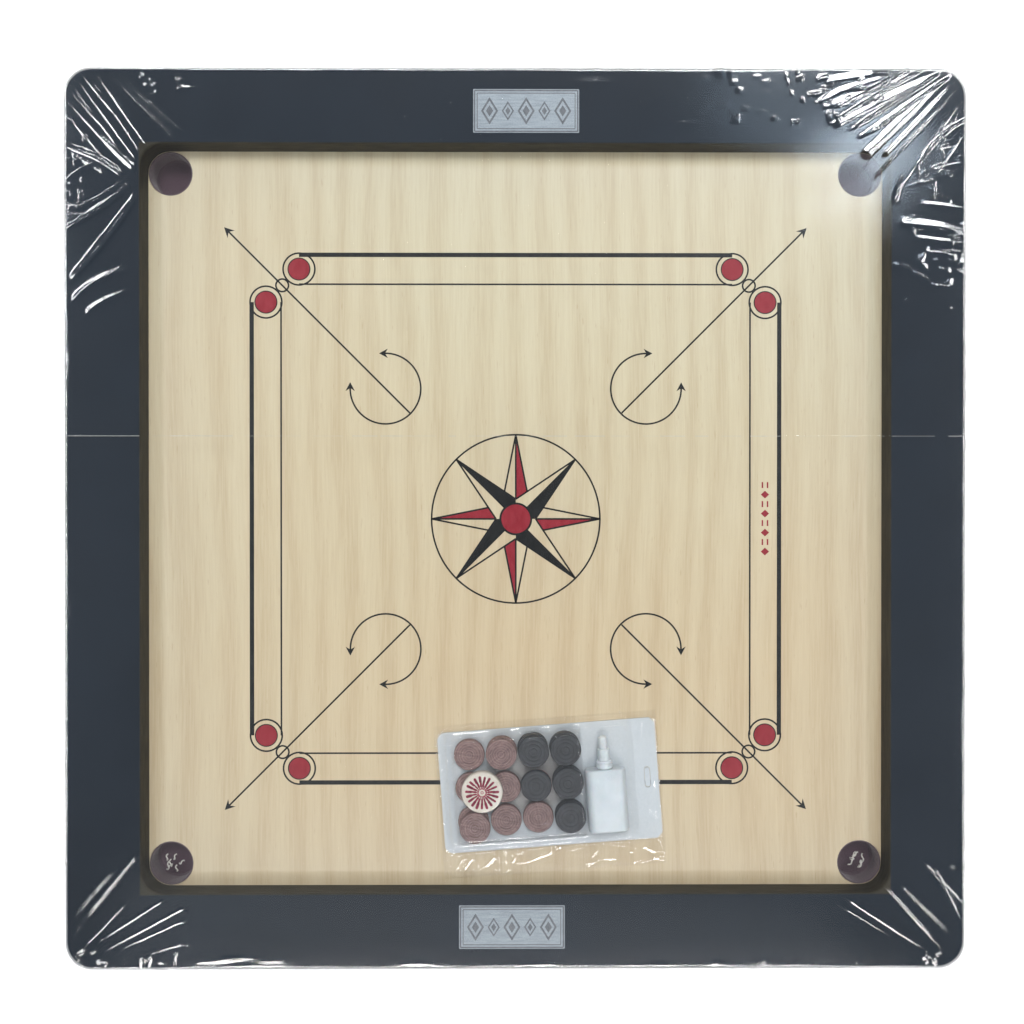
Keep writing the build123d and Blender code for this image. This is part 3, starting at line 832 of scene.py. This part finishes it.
def shrink_film():
    """The film itself, on a grid that is fine only where it is folded."""
    skirt = FILM_TOP - FILM_FOOT
    reach = FILM_HALF + skirt + 1 * MM
    roll = FILM_HALF + 4 * MM
    fine = 330 * MM
    west = lines((-reach, -roll, 5 * MM), (-roll, -fine, 1.8 * MM), (-fine, fine, 11 * MM))
    east = lines((fine, roll, 1.8 * MM), (roll, reach, 5 * MM))
    crumpled = lines((190 * MM, 262 * MM, 4 * MM), (262 * MM, fine, 1.8 * MM))
    across = np.unique(np.concatenate([west, crumpled, east]))
    seam_lines = SEAM_Y + np.array((-1.2, -0.5, 0, 0.5, 1.2)) * MM
    along = np.unique(np.concatenate([west, seam_lines, lines((200 * MM, fine, 2.2 * MM)), east]))

    def keep(u, v):
        distance = rounded_square(u, v, FILM_HALF, FILM_CORNER_R)[0]
        return distance < skirt - FILM_EDGE_R * (math.pi / 2 - 1)

    def refine(u, v):
        """The four corners, and the crumpled ends of the rails by the two north ones."""
        corner = np.minimum(np.abs(u), np.abs(v)) > 328 * MM
        beside = (np.maximum(u, v) > 380 * MM) & (np.minimum(u, v) > 262 * MM)
        fan_west = (u < -380 * MM) & (v > 200 * MM)
        return (corner | beside | fan_west) & (np.maximum(np.abs(u), np.abs(v)) < roll)

    film = sheet_piece("shrink_wrap", across, along, film_shape, "film", FILM,
                       keep, refine)
    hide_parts("shrink_film")


def film_seam():
    """The fused line across the film where its two widths meet."""
    seam = Build()
    low = FILM_TOP - 0.35 * MM
    reach = BOARD_HALF - 3 * MM
    dice = random.Random(11)
    left = -reach
    while left < reach:
        right = min(left + dice.uniform(6, 44) * MM, reach)
        width = dice.choice((0.15, 0.25, 0.5)) * MM
        sink = FILM_SAG if abs(left) < PLAY_HALF - 40 * MM else 0.0
        seam.bar((left, SEAM_Y), (right, SEAM_Y), width, low - sink, low + 0.3 * MM - sink)
        left = right + dice.uniform(2, 16) * MM * (dice.random() < 0.7)
    seam.piece("film_seam", "film", "clear_film", SEAM)


# ---------------------------------------------------------------- printed markings
LAYER = 0.03 * MM
THICK_LINE = 4.4 * MM
THIN_LINE = 1.7 * MM
BASE_OUTER = 268.5 * MM
BASE_INNER = 236.7 * MM
BASE_CIRCLE = 16.0 * MM
BASE_DISC = 10.6 * MM
CIRCLE_NEAR = 218.6 * MM
CIRCLE_FAR = 251.9 * MM
CROSS_AT = 235.5 * MM
CROSS_R = 6.35 * MM
ARROW_FROM = 107 * MM
ARROW_TO = 294 * MM
ARC_AT = 131.5 * MM
ARC_R = 35.6 * MM
STAR_R = 85.0 * MM
STAR_WAIST = 20.0 * MM
EYE_R = 14.6 * MM
# length of the barbs, half the angle between them, and depth of the notch
ARROW_HEAD = (11.5 * MM, math.radians(27), 6.5 * MM)
ARC_HEAD = (10.2 * MM, math.radians(28), 6 * MM)


def layer(number):
    """Lower and upper face of a print layer; later layers lie on earlier ones."""
    return SURFACE - 0.5 * LAYER, SURFACE + LAYER * number


def towards(angle, distance):
    return Vector((math.cos(angle), math.sin(angle))) * distance


def thin_ring(build, centre, radius, number, **arc):
    """A ring, or an arc of one, one thin line wide."""
    build.band(centre, radius - THIN_LINE / 2, radius + THIN_LINE / 2, *layer(number), **arc)


def barbed_head(build, tip, angle, barb, spread, notch, z):
    """A swept arrowhead with a notched back."""
    tip = Vector(tip)
    left = tip + towards(angle + math.pi - spread, barb)
    right = tip + towards(angle + math.pi + spread, barb)
    heel = tip + towards(angle + math.pi, notch)
    build.prism(anticlockwise([tuple(tip), tuple(right), tuple(heel), tuple(left)]), *z)


def crossing(a, b, c, d):
    """Where line a-b crosses line c-d."""
    r, s = b - a, d - c
    t = ((c - a).x * s.y - (c - a).y * s.x) / (r.x * s.y - r.y * s.x)
    return a + r * t


def centre_star(black, red):
    """The circled eight-pointed star. Half of each straight point is red, of each slanting one black."""
    centre = Vector((0, 0))
    thin_ring(black, centre, STAR_R, 1, steps=144)
    for quarter in range(4):
        straight = math.pi / 2 * quarter
        slant = straight + math.pi / 4
        tip, tip_slant = towards(straight, STAR_R), towards(slant, STAR_R)
        waist = towards(straight, STAR_WAIST)
        meets = []
        for side in (-1, 1):
            inner = towards(straight + side * math.pi / 4, STAR_WAIST)
            beside = towards(straight + side * math.pi / 4, STAR_R)
            meets.append(crossing(tip, inner, waist, beside))
            black.bar(tip, meets[-1], THIN_LINE, *layer(2))
        black.bar(tip, waist, THIN_LINE, *layer(2))
        red.prism([tuple(waist), tuple(meets[0]), tuple(tip)], *layer(1))
        black.prism([(0, 0), tuple(waist), tuple(tip_slant)], *layer(1))
        for ahead in (straight, straight + math.pi / 2):
            black.bar(tip_slant, towards(ahead, STAR_WAIST), THIN_LINE, *layer(2))
        black.bar(centre, tip_slant, THIN_LINE, *layer(2))
    black.disc(centre, EYE_R + 2.0 * MM, *layer(3))
    red.disc(centre, EYE_R, *layer(4))


def base_lines(black, red):
    """The four pairs of base lines with a circled disc at each end."""
    for quarter in range(4):
        turn = Matrix.Rotation(math.pi / 2 * quarter, 2)

        def at(x, y):
            return turn @ Vector((x, y))

        outer = BASE_OUTER - THICK_LINE / 2
        black.bar(at(-CIRCLE_NEAR, outer), at(CIRCLE_NEAR, outer), THICK_LINE, *layer(1))
        black.bar(at(-CIRCLE_NEAR, BASE_INNER), at(CIRCLE_NEAR, BASE_INNER), THIN_LINE, *layer(1))
        for side in (-1, 1):
            spot = at(side * CIRCLE_NEAR, CIRCLE_FAR)
            thin_ring(black, spot, BASE_CIRCLE, 2)
            black.disc(spot, BASE_DISC + 1.0 * MM, *layer(2))
            red.disc(spot, BASE_DISC, *layer(3))


def corner_arrows(black):
    """A diagonal arrow at each corner, with a small circle on it and a two-headed arc round its tail."""
    for sx, sy in CORNERS.values():
        way = math.atan2(sy, sx)
        tail, tip = Vector((sx * ARROW_FROM, sy * ARROW_FROM)), Vector((sx * ARROW_TO, sy * ARROW_TO))
        black.bar(tail, tip + towards(way, -4 * MM), THIN_LINE, *layer(1))
        barbed_head(black, tip, way, *ARROW_HEAD, layer(2))
        thin_ring(black, (sx * CROSS_AT, sy * CROSS_AT), CROSS_R, 2, steps=48)
        centre = Vector((sx * ARC_AT, sy * ARC_AT))
        thin_ring(black, centre, ARC_R, 1, start=way + math.pi / 4, sweep=1.5 * math.pi, steps=90)
        for side in (-1, 1):
            end = centre + towards(way + side * math.pi / 4, ARC_R)
            ahead = way - side * math.pi / 4
            point = end + towards(ahead, 6.5 * MM)
            black.bar(end, point + towards(ahead, -3 * MM), THIN_LINE, *layer(1))
            barbed_head(black, point, ahead, *ARC_HEAD, layer(2))


def side_ornament(red):
    """A plain border of bars and lozenges between the east base lines."""
    x, low, step = 252 * MM, -33 * MM, 9.6 * MM
    half_gap, half_bar, bar_width = 2.6 * MM, 3 * MM, 1.5 * MM
    half_wide, half_tall = 4.2 * MM, 3.9 * MM
    for i in range(8):
        y = low + step * i
        if i % 2:
            for dx in (-half_gap, half_gap):
                red.bar((x + dx, y - half_bar), (x + dx, y + half_bar), bar_width, *layer(1))
            continue
        outline = [(x + half_wide, y), (x, y + half_tall), (x - half_wide, y), (x, y - half_tall)]
        red.prism(outline, *layer(1))


def markings():
    """Everything printed on the panel, as one piece of each ink."""
    black, red = Build(), Build()
    base_lines(black, red)
    corner_arrows(black)
    centre_star(black, red)
    side_ornament(red)
    black.piece("markings_black", "board", "playing_ply", BLACK_INK)
    red.piece("markings_red", "board", "playing_ply", RED_INK)


# ---------------------------------------------------------------- name plates
def plate_emblem(node, turned):
    """A plain geometric panel: two borders round a row of lozenges."""
    low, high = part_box(node)
    centre = (low + high) / 2
    half_x, half_y = (high.x - low.x) / 2, (high.y - low.y) / 2
    z = (high.z, high.z + 0.12 * MM)
    dark, bright = Build(), Build()
    flip = -1 if turned else 1

    def at(x, y):
        return (centre.x + flip * x, centre.y + flip * y)

    for inset, width in ((1.4 * MM, 1.3 * MM), (4.0 * MM, 0.8 * MM)):
        x, y = half_x - inset, half_y - inset
        for a, b in (((-x, -y), (x, -y)), ((x, -y), (x, y)), ((x, y), (-x, y)), ((-x, y), (-x, -y))):
            dark.bar(at(*a), at(*b), width, *z)
    for i in range(5):
        x = (i - 2) * 18 * MM
        wide, tall = (6.0 * MM, 9.5 * MM) if i % 2 else (8.4 * MM, 13.5 * MM)
        for scale, build, top in ((1.0, dark, 0.0), (0.74, bright, 0.05), (0.42, dark, 0.10)):
            corners = ((wide, 0), (0, tall), (-wide, 0), (0, -tall))
            outline = [at(x + scale * cx, scale * cy) for cx, cy in corners]
            build.prism(outline, z[0], z[1] + top * MM)
    dark.piece(node + "_pattern", "board", "label_foil", LABEL_INK)
    bright.piece(node + "_inlay", "board", "label_foil", FOIL)


# ---------------------------------------------------------------- pockets
def pocket_linings():
    """A dark cloth sleeve in each pocket, with loose white netting in the two south ones."""
    outer, inner, tiers = POCKET_R - 0.12 * MM, POCKET_R - 0.9 * MM, 8
    above_net = 1.5 * MM
    for corner, (sx, sy) in CORNERS.items():
        centre = Vector((sx * POCKET_AT, sy * POCKET_AT, SURFACE - 8 * MM))
        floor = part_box("pocket_net_" + corner)[0].z + above_net
        depth = SURFACE - 0.15 * MM - floor
        sleeve = Build()
        for k in range(tiers):
            share = k / tiers
            dip = 1.0 * MM * math.sin(math.pi * share)
            low, high = floor + depth * share, floor + depth * (share + 1 / tiers)
            sleeve.band(centre, inner - dip, outer - dip, low, high, steps=96)
        sleeve.piece("pocket_sleeve_" + corner, "board", "net_cord", CLOTH)
        if sy < 0:
            loose_netting(corner, centre)


def loose_netting(corner, centre):
    """Seven short curled strands that lie across a pocket, highest at their middles."""
    net = Build()
    dice = random.Random(corner)
    for _ in range(7):
        base = centre + Vector((dice.uniform(-11, 8) * MM, dice.uniform(-8, 8) * MM, 0))
        angle = dice.uniform(0.2, 1.7)
        span = dice.uniform(5, 9) * MM
        path = []
        for k in range(7):
            share = k / 6 - 0.5
            along = towards(angle, span * share)
            curl = towards(angle + math.pi / 2, math.sin(share * 6) * 1.2 * MM)
            rise = (0.25 - share * share) * 8 * MM
            path.append(base + Vector((*along, rise)) + Vector((*curl, 0)))
        net.tube(path, 0.7 * MM)
    net.piece("netting_" + corner, "board", "net_cord", CORD, smooth=True)


# ---------------------------------------------------------------- coins and striker
COIN_R = 15.45 * MM
COIN_THICK = 7.5 * MM
COIN_EDGE = 1.5 * MM
COIN_GROOVES = [4.2 * MM, 8.2 * MM, 12.0 * MM]
STRIKER_R = 20.6 * MM
# start, end and width of the three parts of a printed ray, in millimetres
RAY_STEPS = ((3.4, 7.5, 1.1), (6.0, 12.0, 1.9), (10.5, 15.4, 2.5))


def coin_profile(radius, thickness, grooves, edge):
    """Half of a coin's section: a rounded edge and shallow turned grooves on both faces."""
    def face(r):
        dip = sum(0.42 * MM * math.exp(-(((r - g) / (0.55 * MM)) ** 2)) for g in grooves)
        dish = 0.25 * MM * (1 - smooth_step(np.float64(r / (6 * MM))))
        return thickness / 2 - dip - float(dish)

    flat = [i * 0.4 * MM for i in range(int((radius - edge) / (0.4 * MM)) + 1)]
    top = [(r, face(r)) for r in flat]
    arc = [
        (radius - edge + edge * math.sin(a), thickness / 2 - edge + edge * math.cos(a))
        for a in (math.pi / 2 * k / 6 for k in range(1, 7))
    ]
    upper = top + arc
    lower = [(r, -z) for r, z in reversed(upper)]
    return [(r, z) for r, z in reversed(upper + lower)]


def coins():
    """Nine brown and nine black coins and the red queen, each turned to its own angle."""
    profile = coin_profile(COIN_R, COIN_THICK, COIN_GROOVES, COIN_EDGE)
    dice = random.Random(21)
    for node in sorted(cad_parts):
        if not node.startswith("coin_") or node == "coin_blister":
            continue
        tint = "brown" if "brown" in node else "black" if "black" in node else "red"
        place = Matrix.Translation(middle(node)) @ Matrix.Rotation(dice.uniform(0, 6.28), 4, "Z")
        piece = make_lathe("turned_" + node, profile, node, COINS[tint], place)
        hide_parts(node)


def striker():
    """The striker and the rays printed on its face."""
    centre = middle("striker")
    low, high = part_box("striker")
    half = (high.z - low.z) / 2
    profile = coin_profile(STRIKER_R, 2 * half - 0.1 * MM, [], 1.9 * MM)
    place = Matrix.Translation(centre) @ Matrix.Rotation(PACK_TURN, 4, "Z")
    disc = make_lathe("polished_striker", profile, "striker", RESIN, place, 128)
    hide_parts("striker")
    rays = Build()
    dice = random.Random(5)
    top = half - 0.05 * MM
    count = 19
    for i in range(count):
        angle = 2 * math.pi * i / count
        for start, end, width in RAY_STEPS:
            shift = angle + dice.uniform(-0.02, 0.02)
            girth = width * dice.uniform(0.85, 1.15) * MM
            tail, tip = towards(shift, start * MM), towards(shift, end * dice.uniform(0.97, 1.03) * MM)
            rays.bar(tail, tip, girth, top - 0.2 * MM, top + 0.05 * MM)
            rays.disc(tip, girth / 2, top - 0.2 * MM, top + 0.05 * MM, 14)
    rays.band((0, 0), 0.9 * MM, 1.5 * MM, top - 0.45 * MM, top - 0.2 * MM, steps=24)
    piece = rays.piece("striker_rays", "striker", "striker_resin", CRIMSON_INK)
    piece.matrix_world = place


# ---------------------------------------------------------------- pack films and card
CARD_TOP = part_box("backing_card")[1].z
# left, right, front and back of the blister's dome, of the card, and of all that lifts the bag
DOME_BOX = (-97 * MM, 34.7 * MM, -50 * MM, 57 * MM)
CARD_BOX = (-110 * MM, 110 * MM, -61 * MM, 61 * MM)
RAISED_BOX = (-99 * MM, 79 * MM, -53 * MM, 59 * MM)
FLANGE = 6 * MM
# centre and radius of the rings where the blister is pressed over a coin, in millimetres
COIN_RINGS = ((-80, -33, 12), (-78, 40, 13), (-46, 41, 13), (18, 40, 14), (-14, -30, 13))


def box_distance(u, v, box, radius):
    """Distance outside a rectangle with round corners."""
    left, right, front, back = box
    qu = np.abs(u - (left + right) / 2) - (right - left) / 2 + radius
    qv = np.abs(v - (front + back) / 2) - (back - front) / 2 + radius
    outside = np.hypot(np.maximum(qu, 0), np.maximum(qv, 0))
    return outside + np.minimum(np.maximum(qu, qv), 0) - radius


def onto_board(x, y):
    """Turns pack coordinates into board coordinates."""
    c, s = math.cos(PACK_TURN), math.sin(PACK_TURN)
    return PACK.translation.x + c * x - s * y, PACK.translation.y + s * x + c * y


def blister_shape(u, v):
    """A vacuum-formed dome over the coins, with a flange on three sides."""
    low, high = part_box("coin_blister")
    foot, roof = low.z + 0.2 * MM, high.z - 0.2 * MM
    inset = -box_distance(u, v, DOME_BOX, 3 * MM)
    wall, shoulder = 1.2 * MM, 4.5 * MM
    climb = smooth_step(inset / wall) * (roof - foot - shoulder)
    turn = np.clip((inset - wall) / shoulder, 0, 1)
    crown = shoulder * np.sqrt(np.clip(1 - (1 - turn) ** 2, 0, 1))
    z = foot + climb + crown
    ripple = soft_waves(u, v, 17, 0.020, 7) * 0.16 * MM + soft_waves(u, v, 19, 0.055, 5) * 0.22 * MM
    bead = np.exp(-(((inset + 3.0 * MM) / (1.3 * MM)) ** 2)) * 0.5 * MM
    for cx, cy, size in COIN_RINGS:
        apart = np.hypot(u - cx * MM, v - cy * MM)
        ripple = ripple + 0.30 * MM * np.exp(-(((apart - size * MM) / (1.1 * MM)) ** 2))
    z = z - smooth_step((inset - 2 * MM) / (4 * MM)) * np.abs(ripple) + bead
    x, y = onto_board(u, v)
    return x, y, z, np.full_like(u, 0.12)


def blister():
    """The blister's sheet, on a grid that is finer on its walls."""
    left, right, front, back = DOME_BOX
    xs = lines(
        (left - FLANGE, left - 0.2 * MM, 1 * MM), (left - 0.2 * MM, left + 4 * MM, 0.35 * MM),
        (left + 4 * MM, right - 4 * MM, 1.3 * MM), (right - 4 * MM, right, 0.35 * MM),
    )
    ys = lines(
        (front - FLANGE, front - 0.2 * MM, 1 * MM), (front - 0.2 * MM, front + 4 * MM, 0.35 * MM),
        (front + 4 * MM, back - 4 * MM, 1.3 * MM), (back - 4 * MM, back + 0.2 * MM, 0.35 * MM),
        (back + 0.2 * MM, back + FLANGE / 2, 1 * MM),
    )
    piece = sheet_piece("clear_blister", xs, ys, blister_shape, "blister", BLISTER)
    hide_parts("coin_blister")


def bag_folds():
    """The poly bag's rounded creases, in millimetres on the pack."""
    dice = random.Random(31)
    folds = [
        (-40, -77, 10, -60, -1, 1.0, 1.1), (-99, -80, -84, -62, 0, 1.0, 1.2),
        (-64, -62, -54, -74, 0, 1.2, 1.2), (76, -82, 102, -80, -2, 1.0, 1.0),
        (104, -60, 109, -84, 1, 1.0, 1.0), (-108, -66, -110, -84, 1, 1.0, 1.0),
        (-98, -86, -82, -84, 0, 1.0, 1.0),
    ]
    folds += scatter(
        dice,
        (8, (-106, -30, -84, -62), (5, 14), (20, 80), (1.0, 1.5), (0.6, 1.2)),
        (8, (30, 108, -84, -60), (5, 16), (-60, 60), (1.0, 1.5), (0.6, 1.2)),
        (10, (78, 108, -54, 60), (16, 50), (70, 110), (0.9, 1.6), (0.4, 1.2)),
        (12, (-108, -96, -56, 60), (12, 44), (75, 105), (0.9, 1.5), (0.5, 1.4)),
        (14, (-90, 90, 58, 66), (12, 40), (-12, 12), (0.8, 1.4), (0.4, 1.2)),
        (10, (-92, 74, -46, 54), (14, 40), (0, 180), (1.0, 1.8), (0.15, 0.4)),
        (9, (46, 78, 10, 56), (10, 26), (60, 130), (0.8, 1.4), (0.4, 1.0)),
    )
    return folds


def bag_facets():
    """The flat-sided creases of the poly bag, in millimetres on the pack."""
    return [
        # crumpled margin in front of the card
        (-30, -71.5, 19, -58, -0.120, 3.4, 1.6), (-34, -77, -2, -67, -0.130, 2.4, 1.4),
        (-105, -82, -90, -63, -0.170, 3.2, 1.6), (-96, -82, -82, -64, -0.175, 2.6, 1.4),
        (-86, -64, -74, -78, -0.150, 3.4, 1.6), (-73, -78, -57, -64, -0.160, 3.8, 1.8),
        (-58, -64, -46, -77, -0.150, 2.8, 1.4), (-47, -79, -37, -63, -0.175, 3.0, 1.4),
        (38, -77, 62, -79, -0.115, 2.6, 1.2), (77, -79, 105, -81.5, -0.115, 3.0, 1.2),
        (67, -63, 63, -83, 0.280, 2.4, 1.4), (84, -65, 102, -75, -0.140, 2.8, 1.6),
        (104, -62, 107, -84, 0.280, 2.4, 1.4), (46, -63, 37, -76, 0.200, 2.4, 1.4),
        (-108, -64, -109, -84, 0.300, 2.0, 1.2), (10, -68, 30, -64, -0.120, 2.0, 1.2),
        # over the blister, the bottle and the card
        (1, 51, 9, 50, -0.176, 1.8, 1.0), (11, 52, 18, 51, -0.176, 1.6, 1.0),
        (-82, 46, -66, 54, -0.180, 1.6, 1.0), (-66, 54, -49, 53, -0.176, 1.4, 1.0),
        (-80, 17, -74, 22, -0.190, 1.8, 1.0), (66, 28, 69, 15, 0.260, 1.6, 1.0),
        (-3, 60, 5, 59, -0.176, 1.2, 0.8), (87.5, 10, 88, 0, 0.260, 1.2, 0.8),
        (-20, -24, -6, -20, -0.150, 1.2, 0.8), (-84, -30, -70, -42, -0.170, 1.4, 0.8),
        (98, 50, 103, -30, 0.270, 1.6, 1.0), (-92, 64.5, 60, 64, -0.176, 1.4, 0.8),
    ]


def bag_front_shape(u, v):
    """Film lying over the blister and bottle, falling to the card and the crumpled margin."""
    low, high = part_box("bag_front")
    foot, roof = low.z + 0.25 * MM, high.z - 0.25 * MM
    dome = box_distance(u, v, RAISED_BOX, 6 * MM)
    edge = -box_distance(u, v, BAG_BOX, 0.5 * MM)
    slope = np.clip(np.minimum(1 - dome / (9 * MM), edge / (7 * MM)), 0, 1)
    z = foot + (roof - foot) * smooth_step(slope)
    off_card = box_distance(u, v, CARD_BOX, 8 * MM)
    over_card = CARD_TOP + 0.25 * MM - foot
    z = np.maximum(z, foot + over_card * smooth_step(1.4 - off_card / (1.5 * MM)))
    rise = np.maximum(raise_folds(u / MM, v / MM, bag_folds()), raise_facets(u / MM, v / MM, bag_facets()))
    free = smooth_step(edge / (3 * MM))
    rise = rise + 0.25 * np.abs(soft_waves(u, v, 41, 0.026, 7)) * smooth_step(dome / (12 * MM))
    z = np.minimum(z + rise * MM * free, roof + 0.4 * MM)
    margin = smooth_step((-58 * MM - v) / (8 * MM))
    x, y = onto_board(u, v)
    return x, y, z, np.clip(0.10 + 0.8 * margin, 0, 1)


def bag():
    """The bag's front sheet over the pack, and its back sheet under the card."""
    left, right, front, back = BAG_BOX
    xs = lines((left, right, 0.9 * MM))
    ys = lines((front, front + 32 * MM, 0.8 * MM), (front + 32 * MM, back, 1.4 * MM))
    top = sheet_piece("poly_bag_front", xs, ys, bag_front_shape, "bag", BAG)
    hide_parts("bag_front")
    low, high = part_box("bag_back")

    def flat_shape(u, v):
        x, y = onto_board(u, v)
        wave = soft_waves(u, v, 51, 0.03, 5) * 0.06 * MM
        return x, y, np.full_like(u, (low.z + high.z) / 2) + wave, np.full_like(u, 0.2)

    xs = lines((left, right, 5 * MM))
    ys = lines((front, back, 5 * MM))
    under = sheet_piece("poly_bag_back", xs, ys, flat_shape, "card", BAG)
    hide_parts("bag_back")


def hang_slug():
    """The punched tab that still sits in the card's hang slot."""
    slug = Build()
    x, y, half, radius = 99 * MM, 1 * MM, 7.2 * MM, 2.6 * MM
    outline = [
        (x + radius * math.cos(a), y + side * half + radius * math.sin(a))
        for side, first in ((1, 0.0), (-1, math.pi))
        for a in (first + math.pi * k / 12 for k in range(13))
    ]
    slug.prism(outline, CARD_TOP - 0.9 * MM, CARD_TOP - 0.15 * MM)
    piece = slug.piece("hang_slug", "card", "card_board", CARD)
    piece.matrix_world = PACK


# ---------------------------------------------------------------- materials on the CAD nodes
def dress_nodes():
    """Gives every carried-over CAD node its material, by the first start that its name has."""
    bottle = material("bottle_plastic", white_plastic, (0.52, 0.58, 0.62), (0.60, 0.65, 0.69), 0.38)
    cap = material("cap_plastic", white_plastic, (0.58, 0.63, 0.67), (0.66, 0.71, 0.74), 0.28)
    beech = material("beech", planed_wood, (0.36, 0.22, 0.12), (0.52, 0.35, 0.21), True)
    batten_x, batten_y = (
        material("batten_wood_" + axis, planed_wood, (0.26, 0.15, 0.07), (0.46, 0.30, 0.16), axis == "x")
        for axis in ("x", "y")
    )
    powder = material("fine_powder", fine_powder)
    starts = {
        "playing_panel": BIRCH, "backing_card": CARD, "bottle_body": bottle, "powder_fill": powder,
        "bottle_closure": cap, "tip_cap": cap, "panel_screws": ZINC, "batten_screws": ZINC,
        "ring_screws": ZINC, "batten_north": batten_x, "batten_south": batten_x,
        "batten_east": batten_y, "batten_west": batten_y, "rail_": PAINT, "corner_tenon": beech,
        "pocket_net": CLOTH, "pocket_ring": STEEL, "name_plate": FOIL, "coin_blister": BLISTER,
        "coin_brown": COINS["brown"], "coin_black": COINS["black"], "coin_queen": COINS["red"],
        "striker": RESIN, "shrink_film": FILM, "bag_": BAG,
    }
    for node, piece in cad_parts.items():
        worn = next(starts[start] for start in starts if node.startswith(start))
        for slot in piece.material_slots:
            slot.material = worn


# ---------------------------------------------------------------- stage
def area_light(name, place, size, power, tint):
    """A rectangular lamp that faces the middle of the board."""
    data = bpy.data.lights.new(name, "AREA")
    data.shape = "RECTANGLE"
    data.size, data.size_y = size
    data.energy = power
    data.color = tint
    light = bpy.data.objects.new(name, data)
    bpy.context.scene.collection.objects.link(light)
    light.location = place
    light.rotation_euler = (-Vector(place)).to_track_quat("-Z", "Y").to_euler()
    return light


# lamps that light the board and show in no reflection: place, size, power, tint
FILLS = {
    "key_north": ((0.1, 1.4, 2.8), (1.4, 0.9), 51, (1.0, 0.99, 0.97)),
    "fill_west": ((-2.2, 0.3, 2.4), (1.2, 1.2), 17, (0.94, 0.97, 1.0)),
    "fill_east": ((2.2, 0.3, 2.4), (1.2, 1.2), 15, (1.0, 0.98, 0.96)),
    "fill_south": ((0.0, -1.6, 2.9), (2.0, 1.4), 24, (1.0, 0.97, 0.94)),
}
# lamps that show only in reflections: place, size, glow, tint
REFLECTED = {
    "strip_north": ((0.2, 2.1, 2.5), (3.6, 0.34), 60, (0.95, 0.98, 1.0)),
    "lamp_north_east": ((0.95, 2.1, 2.5), (0.8, 0.5), 30, (0.95, 0.98, 1.0)),
    "strip_west": ((-2.1, 0.2, 2.5), (3.0, 0.3), 46, (0.95, 0.98, 1.0)),
    "strip_east": ((2.1, 0.0, 2.5), (3.0, 0.3), 42, (0.98, 0.99, 1.0)),
    "strip_south": ((0.0, -2.0, 2.5), (3.0, 0.26), 60, (1.0, 0.98, 0.96)),
    "veil_north_east": ((1.04, 1.42, 2.5), (0.66, 0.34), 2.2, (0.62, 0.80, 1.0)),
    "veil_south": ((-0.1, -1.5, 2.5), (2.6, 0.3), 0.6, (0.92, 0.97, 1.0)),
    "veil_pocket": ((1.30, 1.29, 2.5), (0.28, 0.28), 18.0, (0.74, 0.87, 1.0)),
}


def lamps():
    """Every lamp of both tables. A reflected one is as strong as its glow and its area make it."""
    for name, (place, size, power, tint) in FILLS.items():
        area_light(name, place, size, power, tint).visible_glossy = False
    for name, (place, size, glow, tint) in REFLECTED.items():
        power = glow * math.pi * size[0] * size[1]
        area_light(name, place, size, power, tint).visible_diffuse = False


def studio_world():
    scene = bpy.context.scene
    scene.view_settings.view_transform = "Standard"
    world = bpy.data.worlds.new("studio")
    world.use_nodes = True
    sky = world.node_tree.nodes["Background"]
    sky.inputs["Color"].default_value = colour((0.86, 0.93, 1.0))
    sky.inputs["Strength"].default_value = 0.36
    scene.world = world


def floor_sheet():
    """A large flat floor under the board."""
    reach, steps = 6.0, 8
    row = steps + 1
    at = [-reach + 2 * reach * i / steps for i in range(row)]
    cells = [j * row + i for j in range(steps) for i in range(steps)]
    mesh = bpy.data.meshes.new("floor")
    faces = [(cell, cell + 1, cell + row + 1, cell + row) for cell in cells]
    mesh.from_pydata([(x, y, 0.0) for y in at for x in at], [], faces)
    mesh.materials.append(material("studio_floor", studio_floor))
    floor = bpy.data.objects.new("floor", mesh)
    bpy.context.scene.collection.objects.link(floor)


def camera():
    """Straight above the board, a hair off its middle and off plumb."""
    data = bpy.data.cameras.new("camera")
    data.lens = 32.7
    data.sensor_width = 36.0
    eye = bpy.data.objects.new("camera", data)
    eye.location = (-8.1 * MM, 10.6 * MM, 967.6 * MM)
    eye.rotation_euler = (math.radians(-0.22), math.radians(-0.26), 0.0)
    bpy.context.scene.collection.objects.link(eye)
    bpy.context.scene.camera = eye


studio_world()
floor_sheet()
lamps()
camera()
dress_nodes()
markings()
plate_emblem("name_plate_north", False)
plate_emblem("name_plate_south", True)
pocket_linings()
coins()
striker()
hang_slug()
blister()
bag()
shrink_film()
film_seam()
